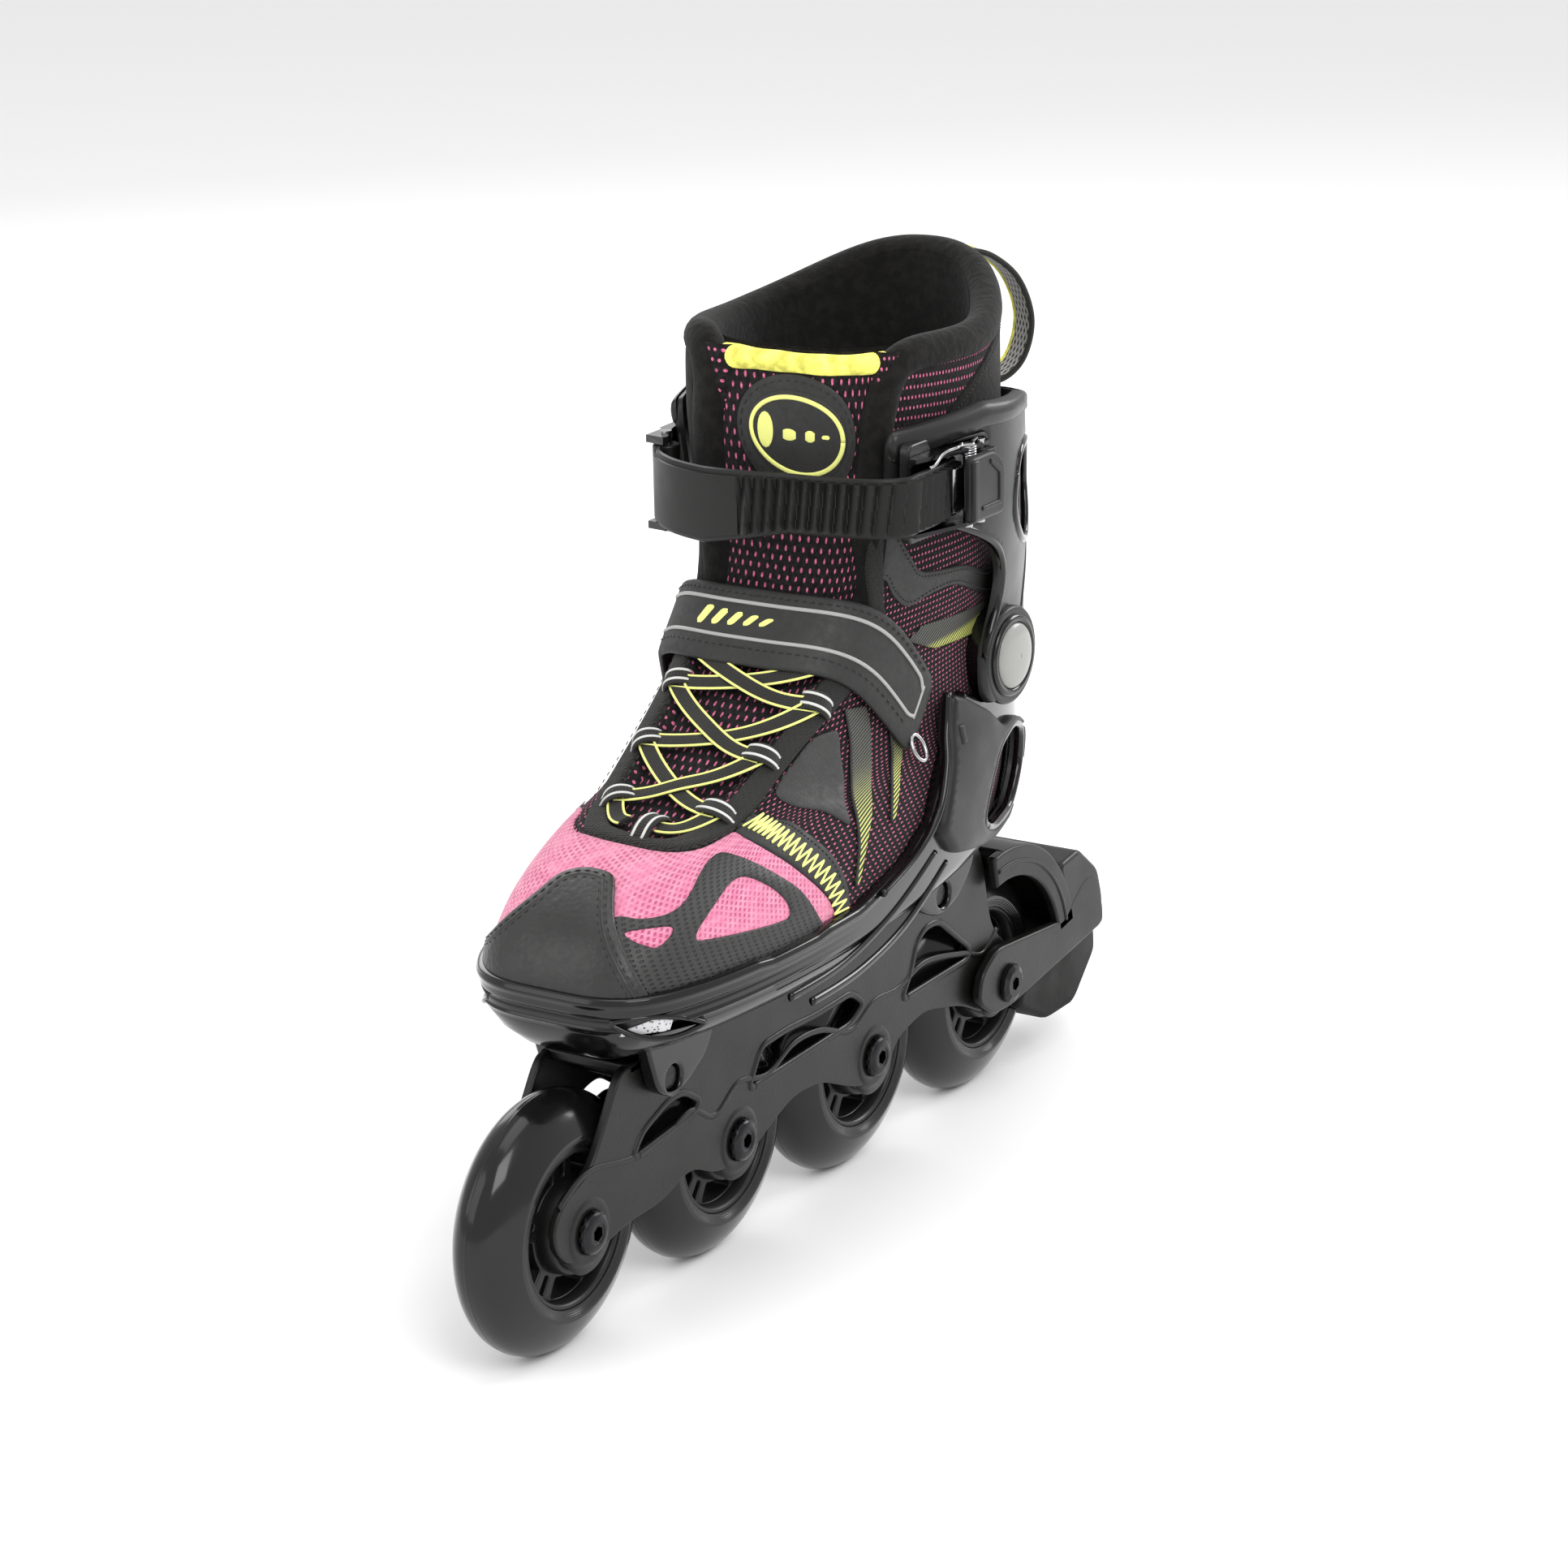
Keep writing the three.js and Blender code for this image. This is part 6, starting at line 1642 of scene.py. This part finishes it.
cuff_inside.data.flip_normals()
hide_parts("cuff")
band_low = [(-21, 240), (-40, 243.5), (-60, 246), (-90, 245), (-115, 239)]
low_left, low_right = side_flat(band_low, 1, CUFF_OFF, True), side_flat([(-31, 242)] + band_low[1:], -1,
                                                                        CUFF_OFF, True)
band_polygon = np.vstack([left_top[1:], HEEL_TOP, right_top[::-1][:-1], low_right,
                          [[0, heel_height(232)]], low_left[::-1]])
band = patch("cuff_band", even(fillet(band_polygon, 3), 1.4), cuff_nylon, 7.4, 2.2, 2.6, pitch=2.6,
             put=heel_place)
pieces = [cuff, cuff_inside, band]
pieces.append(plate("cuff_pocket", [fillet([(-60, 216), (-22.5, 216), (-22.5, 247), (-60, 247)], 3)], 37,
                    40.6, 0.8, cuff_nylon))
pieces.append(bead("pocket_edge", pocket_hole, heel_place, 7.9, 0.7, 0.7, cuff_nylon, True))
for tag, sign in (("left", 1), ("right", -1)):
    pieces.append(bead(f"cuff_window_edge_{tag}", window_holes[sign], heel_place, 8.0, 1.5, 1.2,
                       gloss_nylon, True))
    strut = side_flat(even(curve_through([(-89, 233), (-95, 224), (-97, 213), (-104, 202)], 6), 1.2, False),
                      sign,
                      CUFF_OFF, True)
    pieces.append(bead(f"cuff_strut_{tag}", strut, heel_place, 5.4, 1.6, 1.5, cuff_nylon))
    front = [(-42, 219.5), (-61, 212.5), (-72.5, 206), (-78.5, 197), (-78.5, 186), (-73.5, 176),
             (-70.5, 169)]
    inner = side_flat(even(curve_through(front, 6), 1.2, False), sign, CUFF_OFF, True)
    pieces.append(bead(f"cuff_front_edge_{tag}", inner, heel_place, 7.2, 1.5, 1.7, gloss_nylon))
    lobe_y = sorted((sign * 43.1 + MIDDLE_Y, sign * 46.4 + MIDDLE_Y))
    pieces.append(plate(f"cuff_lobe_{tag}", [circle(*ANKLE, 16.0, 72)], *lobe_y, 1.2, cuff_nylon))
    crest = side_flat(even(curve_through([(-100, 160), (-106, 178), (-119, 200)], 6), 1.2, False), sign,
                      CUFF_OFF, True)
    pieces.append(bead(f"cuff_crest_{tag}", crest, heel_place, 8.2, 1.3, 0.7, cuff_nylon))
fasten(pieces, "cuff")

cap_plastic = moulded("cap_plastic", (0.27, 0.27, 0.255), 0.32, 0.01, 900, coat=0.3)
for tag, sign in (("left", 1), ("right", -1)):
    a = np.linspace(0, np.pi / 2, 14)
    dome_r = 10.6 * np.sin(a) + 0.01
    dome_y = 46.9 + 2.4 * np.cos(a) ** 0.8
    ring_r = np.array([10.7, 11.2, 12.6, 13.4, 13.4, 10.7])
    ring_y = np.array([46.9, 47.6, 47.6, 46.9, 46.3, 46.3])
    dome = np.stack([np.append(dome_r, [10.6, 0.01]), np.append(dome_y, [46.4, 46.4])], -1)
    collar = np.stack([ring_r, ring_y], -1)
    made = []
    for name, profile, paint in (("dome", dome, cap_plastic), ("cap_ring", collar, gloss_nylon)):
        placed = np.stack([profile[:, 0], sign * profile[:, 1] + MIDDLE_Y], -1)
        made.append(turned(f"{name}_{tag}", facing(placed, sign), ANKLE, paint, 96))
    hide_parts(f"cuff_cap_{tag}")
    fasten(made, "cuff")
    keep(f"cuff_rivet_{tag}", black_steel.mat)


# ---------------------------------------------------------------- ladder strap
# The buckle's plastic ladder: smooth where it hinges on the inner side, then a run of saw teeth across the
# front that the catch grips. It swings on the anchor pin.
ladder_plastic = moulded("ladder_plastic", (0.0055, 0.0055, 0.005), 0.42, 0.03, 1000)
LADDER_PATH = [(-44, 42.3), (-31.5, 44.2), (-19, 44.36), (-13, 44.2), (-7.5, 38.5), (-4, 28), (-2.2, 14),
               (-2, -3), (-3.6, -19), (-8, -33), (-15, -43), (-21, -47)]
TOOTH_PITCH, TOOTH_HIGH = 4.0, 2.0
ladder_line = even(curve_through(LADDER_PATH, 16), 0.25, False)
along = frames(np.column_stack([ladder_line, 0 * ladder_line[:, 0]]))[:, :2]
outward = np.stack([-along[:, 1], along[:, 0]], -1)
if outward[len(outward) // 2, 0] < 0:
    outward = -outward
reach = run_of(ladder_line)
toothed = reach[-1] * 0.64
half_z = np.interp(ladder_line[:, 1], [-20, 12], [12.0, 9.25])
mid_z = np.interp(ladder_line[:, 1], [-20, 12], [226.5, 230.75])
across = np.array([-1, -0.97, -0.9, -0.86, -0.84, -0.5, 0, 0.5, 0.84, 0.86, 0.9, 0.97, 1])
skin_off = np.array([1.1, 1.9, 2.2, 2.2, 2.2, 2.2, 2.2, 2.2, 2.2, 2.2, 2.2, 1.9, 1.1])
bite = np.array([0, 0, 0, 0, 1, 1, 1, 1, 1, 0, 0, 0, 0.0])
outer_z = mid_z[:, None] + half_z[:, None] * across
share = ((reach[:, None] + 0.11 * (outer_z - 230)) / TOOTH_PITCH) % 1.0
saw = TOOTH_HIGH * np.minimum(share / 0.16, (1 - share) / 0.84)
ladder_out = skin_off + np.where(reach[:, None] < toothed, saw, 0.9) * bite
inner_z = outer_z[:, ::-1][:, 1:-1]
inner_off = 1.1 - 1.1 * np.clip((1 - np.abs(across[::-1][1:-1])) * 10, 0, 1)[None] + 0 * inner_z
all_z = np.hstack([outer_z, inner_z])
all_off = np.hstack([ladder_out, inner_off])
ladder_mm = np.concatenate([ladder_line[:, None] + outward[:, None] * all_off[..., None], all_z[..., None]],
                           -1)
ladder_faces = quads(len(ladder_line), all_z.shape[1], False, True)
ladder = build("ladder_body", ladder_mm.reshape(-1, 3), ladder_faces, ladder_plastic)
ladder_edges = ladder.modifiers.new("edges", "EDGE_SPLIT")
ladder_edges.split_angle = np.radians(38)
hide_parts("ladder_strap")


def upright(name, loops, low, high, edge, material, segments=3):
    """A flat plate in the (x, y) plane from z = low to z = high: a plate turned up, with its faces turned
    round."""
    obj = plate(name, loops, low, high, edge, material, segments)
    move_points(obj.data, lambda p: p[:, [0, 2, 1]])
    obj.data.flip_normals()
    return obj


hinge_eye = upright("ladder_eye", [circle(-24, -48, 4.4, 40), circle(-24, -48, 1.9, 24)], 214.5, 238.5, 0.8,
                    ladder_plastic)
fasten((ladder, hinge_eye), "ladder_strap")
gloss_steel = Shader("gloss_black_steel", (0.015, 0.015, 0.016), 0.12, 0.4, Coat_Weight=0.6)
gloss_steel.set("Roughness", gloss_steel.spread(gloss_steel.noise(200, 4), 0.3, 0.7, 0.08, 0.2))
keep("anchor_bracket", gloss_steel.mat, 0.5)
keep("anchor_pin", steel.mat)
stud = []
for i, z in enumerate((219.5, 233.5)):
    a = np.linspace(0, np.pi / 2, 8)
    profile = np.stack([np.append(3.1 * np.sin(a) + 0.01, 0.01), -55.5 - np.append(1.6 * np.cos(a), -0.6)],
                       -1)
    stud.append(turned(f"anchor_rivet_{i}", profile[::-1], (-43, z), steel.mat, 40))
fasten(stud, "cuff")


# ---------------------------------------------------------------- ratchet buckle
# A black steel channel riveted in the cuff's pocket. A short plastic lever and a sprung catch turn on two
# pins across it, and a bright wire spring lies along its upper edge.
keep("ratchet_frame", black_steel.mat, 0.5)
keep("ratchet_pin", steel.mat)
keep("ratchet_pawl", steel.mat, 0.3)
lever_plastic = moulded("lever_plastic", (0.010, 0.010, 0.0095), 0.4, 0.03, 1000)
LEVER = [(-58, 220.9), (-38, 220.9), (-37, 222), (-37, 240.6), (-38, 241.6), (-52, 241.6), (-58, 236.5)]
LEVER_TOP = [(-55.6, 224.2), (-43, 224.2), (-43, 225.6), (-53.4, 225.8), (-53.4, 234.2), (-48, 238.2),
             (-48, 239.8), (-55.6, 235.4)]
lever = plate("lever_tab", [fillet(LEVER, 3.2, 7)], 51.0, 54.4, 1.3, lever_plastic)
arc_rim = plate("lever_relief", [fillet(LEVER_TOP, 0.8)], 53.8, 54.9, 0.4, lever_plastic)
lip = plate("lever_lip", [fillet([(-40.6, 221.6), (-37.2, 221.6), (-37.2, 240.8), (-40.6, 240.8)], 1)],
            52.4, 55.2, 0.8, lever_plastic)
cheeks = [upright(f"lever_cheek_{i}", [fillet([(-56.6, 46.6), (-53, 44.6), (-49.4, 46.6), (-49.4, 52.4),
                                               (-56, 52.4)], 1.2),
                                       circle(-53, 48, 1.6, 20)], low, low + 2.1, 0.4, lever_plastic)
          for i, low in enumerate((220.9, 239.5))]
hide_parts("ratchet_lever")
fasten((lever, arc_rim, lip, *cheeks), "ratchet_lever")
spring = curve_through([(-52, 47.5, 244.6), (-46, 49.4, 244.8), (-43.5, 50.8, 244.5), (-40, 49.0, 244.6),
                        (-36, 49.6, 244.8), (-33, 48.2, 244.2), (-30, 47.8, 243.4), (-27, 47.2, 241.0),
                        (-24.5, 46.8, 240.6)],
                        8)
wire_out = np.tile([0.0, 0, 1], (len(spring), 1))
spring_wire = carried("catch_spring", spring, wire_out, oval(0.55, 0.55, 10), steel.mat)
coil_a = np.linspace(0, 8 * np.pi, 120)
coil = np.stack([-45.5 + 2.3 * np.cos(coil_a), 48 + 2.3 * np.sin(coil_a), 240.6 + coil_a * 0.13], -1)
coil_wire = carried("catch_coil", coil, np.tile([0.0, 0, 1], (120, 1)), oval(0.5, 0.5, 8), steel.mat)
fasten((spring_wire, coil_wire), "cuff")


# ---------------------------------------------------------------- pull loop
# A loop of open net tape with one lime edge, sewn behind the collar.
def net_tape():
    """Pale net: slanting cords cross over a darker ground, in two directions."""
    s = Shader("net_tape", (0.25, 0.24, 0.23), 0.8, coords="UV")
    u, w, _ = s.axes(35, (1000 / 2.6, 1000 / 1.7, 1))
    _, w2, _ = s.axes(-35, (1000 / 2.6, 1000 / 1.7, 1))
    one = s.spread(s.from_middle(w), 0.12, 0.3, 1.0, 0.0)
    two = s.spread(s.from_middle(w2), 0.12, 0.3, 1.0, 0.0)
    mask = s.math("MAXIMUM", one, two)
    s.set("Base Color", s.mix(mask, (0.03, 0.03, 0.028), (0.42, 0.41, 0.40)))
    s.bump(mask, 0.4)
    return s.mat


LOOP = [(-119, 288), (-124, 288.5), (-138, 286), (-153, 277.5), (-160.5, 264), (-156, 251.5),
        (-144, 245.2), (-130, 246), (-121, 251.5)]
SEWN_X = 119
loop_xz = even(curve_through(LOOP, 10), 1.0, False)
loop_path = np.stack([loop_xz[:, 0], 0 * loop_xz[:, 0], loop_xz[:, 1]], -1)
centre = np.array([-138.0, 0, 266])
loop_out = loop_path - centre
swing = np.radians(32)
for row, start_x in ((loop_path, SEWN_X), (loop_out, 0)):
    reach_back = (row[:, 0] + start_x) * 0.66
    row[:, 0] = reach_back * np.cos(swing) - start_x
    row[:, 1] = -reach_back * np.sin(swing)
a = np.linspace(0, 2 * np.pi, 24, endpoint=False)
tape_section = np.stack([5.4 * np.sign(np.cos(a)) * np.abs(np.cos(a)) ** 0.5, 0.7 * np.sin(a)], -1)
loop_tape = carried("pull_loop_tape", loop_path, loop_out, tape_section, net_tape())
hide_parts("pull_loop")
loop_pieces = [loop_tape]
for tag, y_side, paint in (("lime", 5.3, fleece_lime), ("dark", -5.3, tape_black)):
    loop_pieces.append(stripe_along(f"pull_loop_edge_{tag}", loop_path, loop_out, -y_side, 0.9, 0.95, 0,
                                    paint))
fasten(loop_pieces, "cuff")
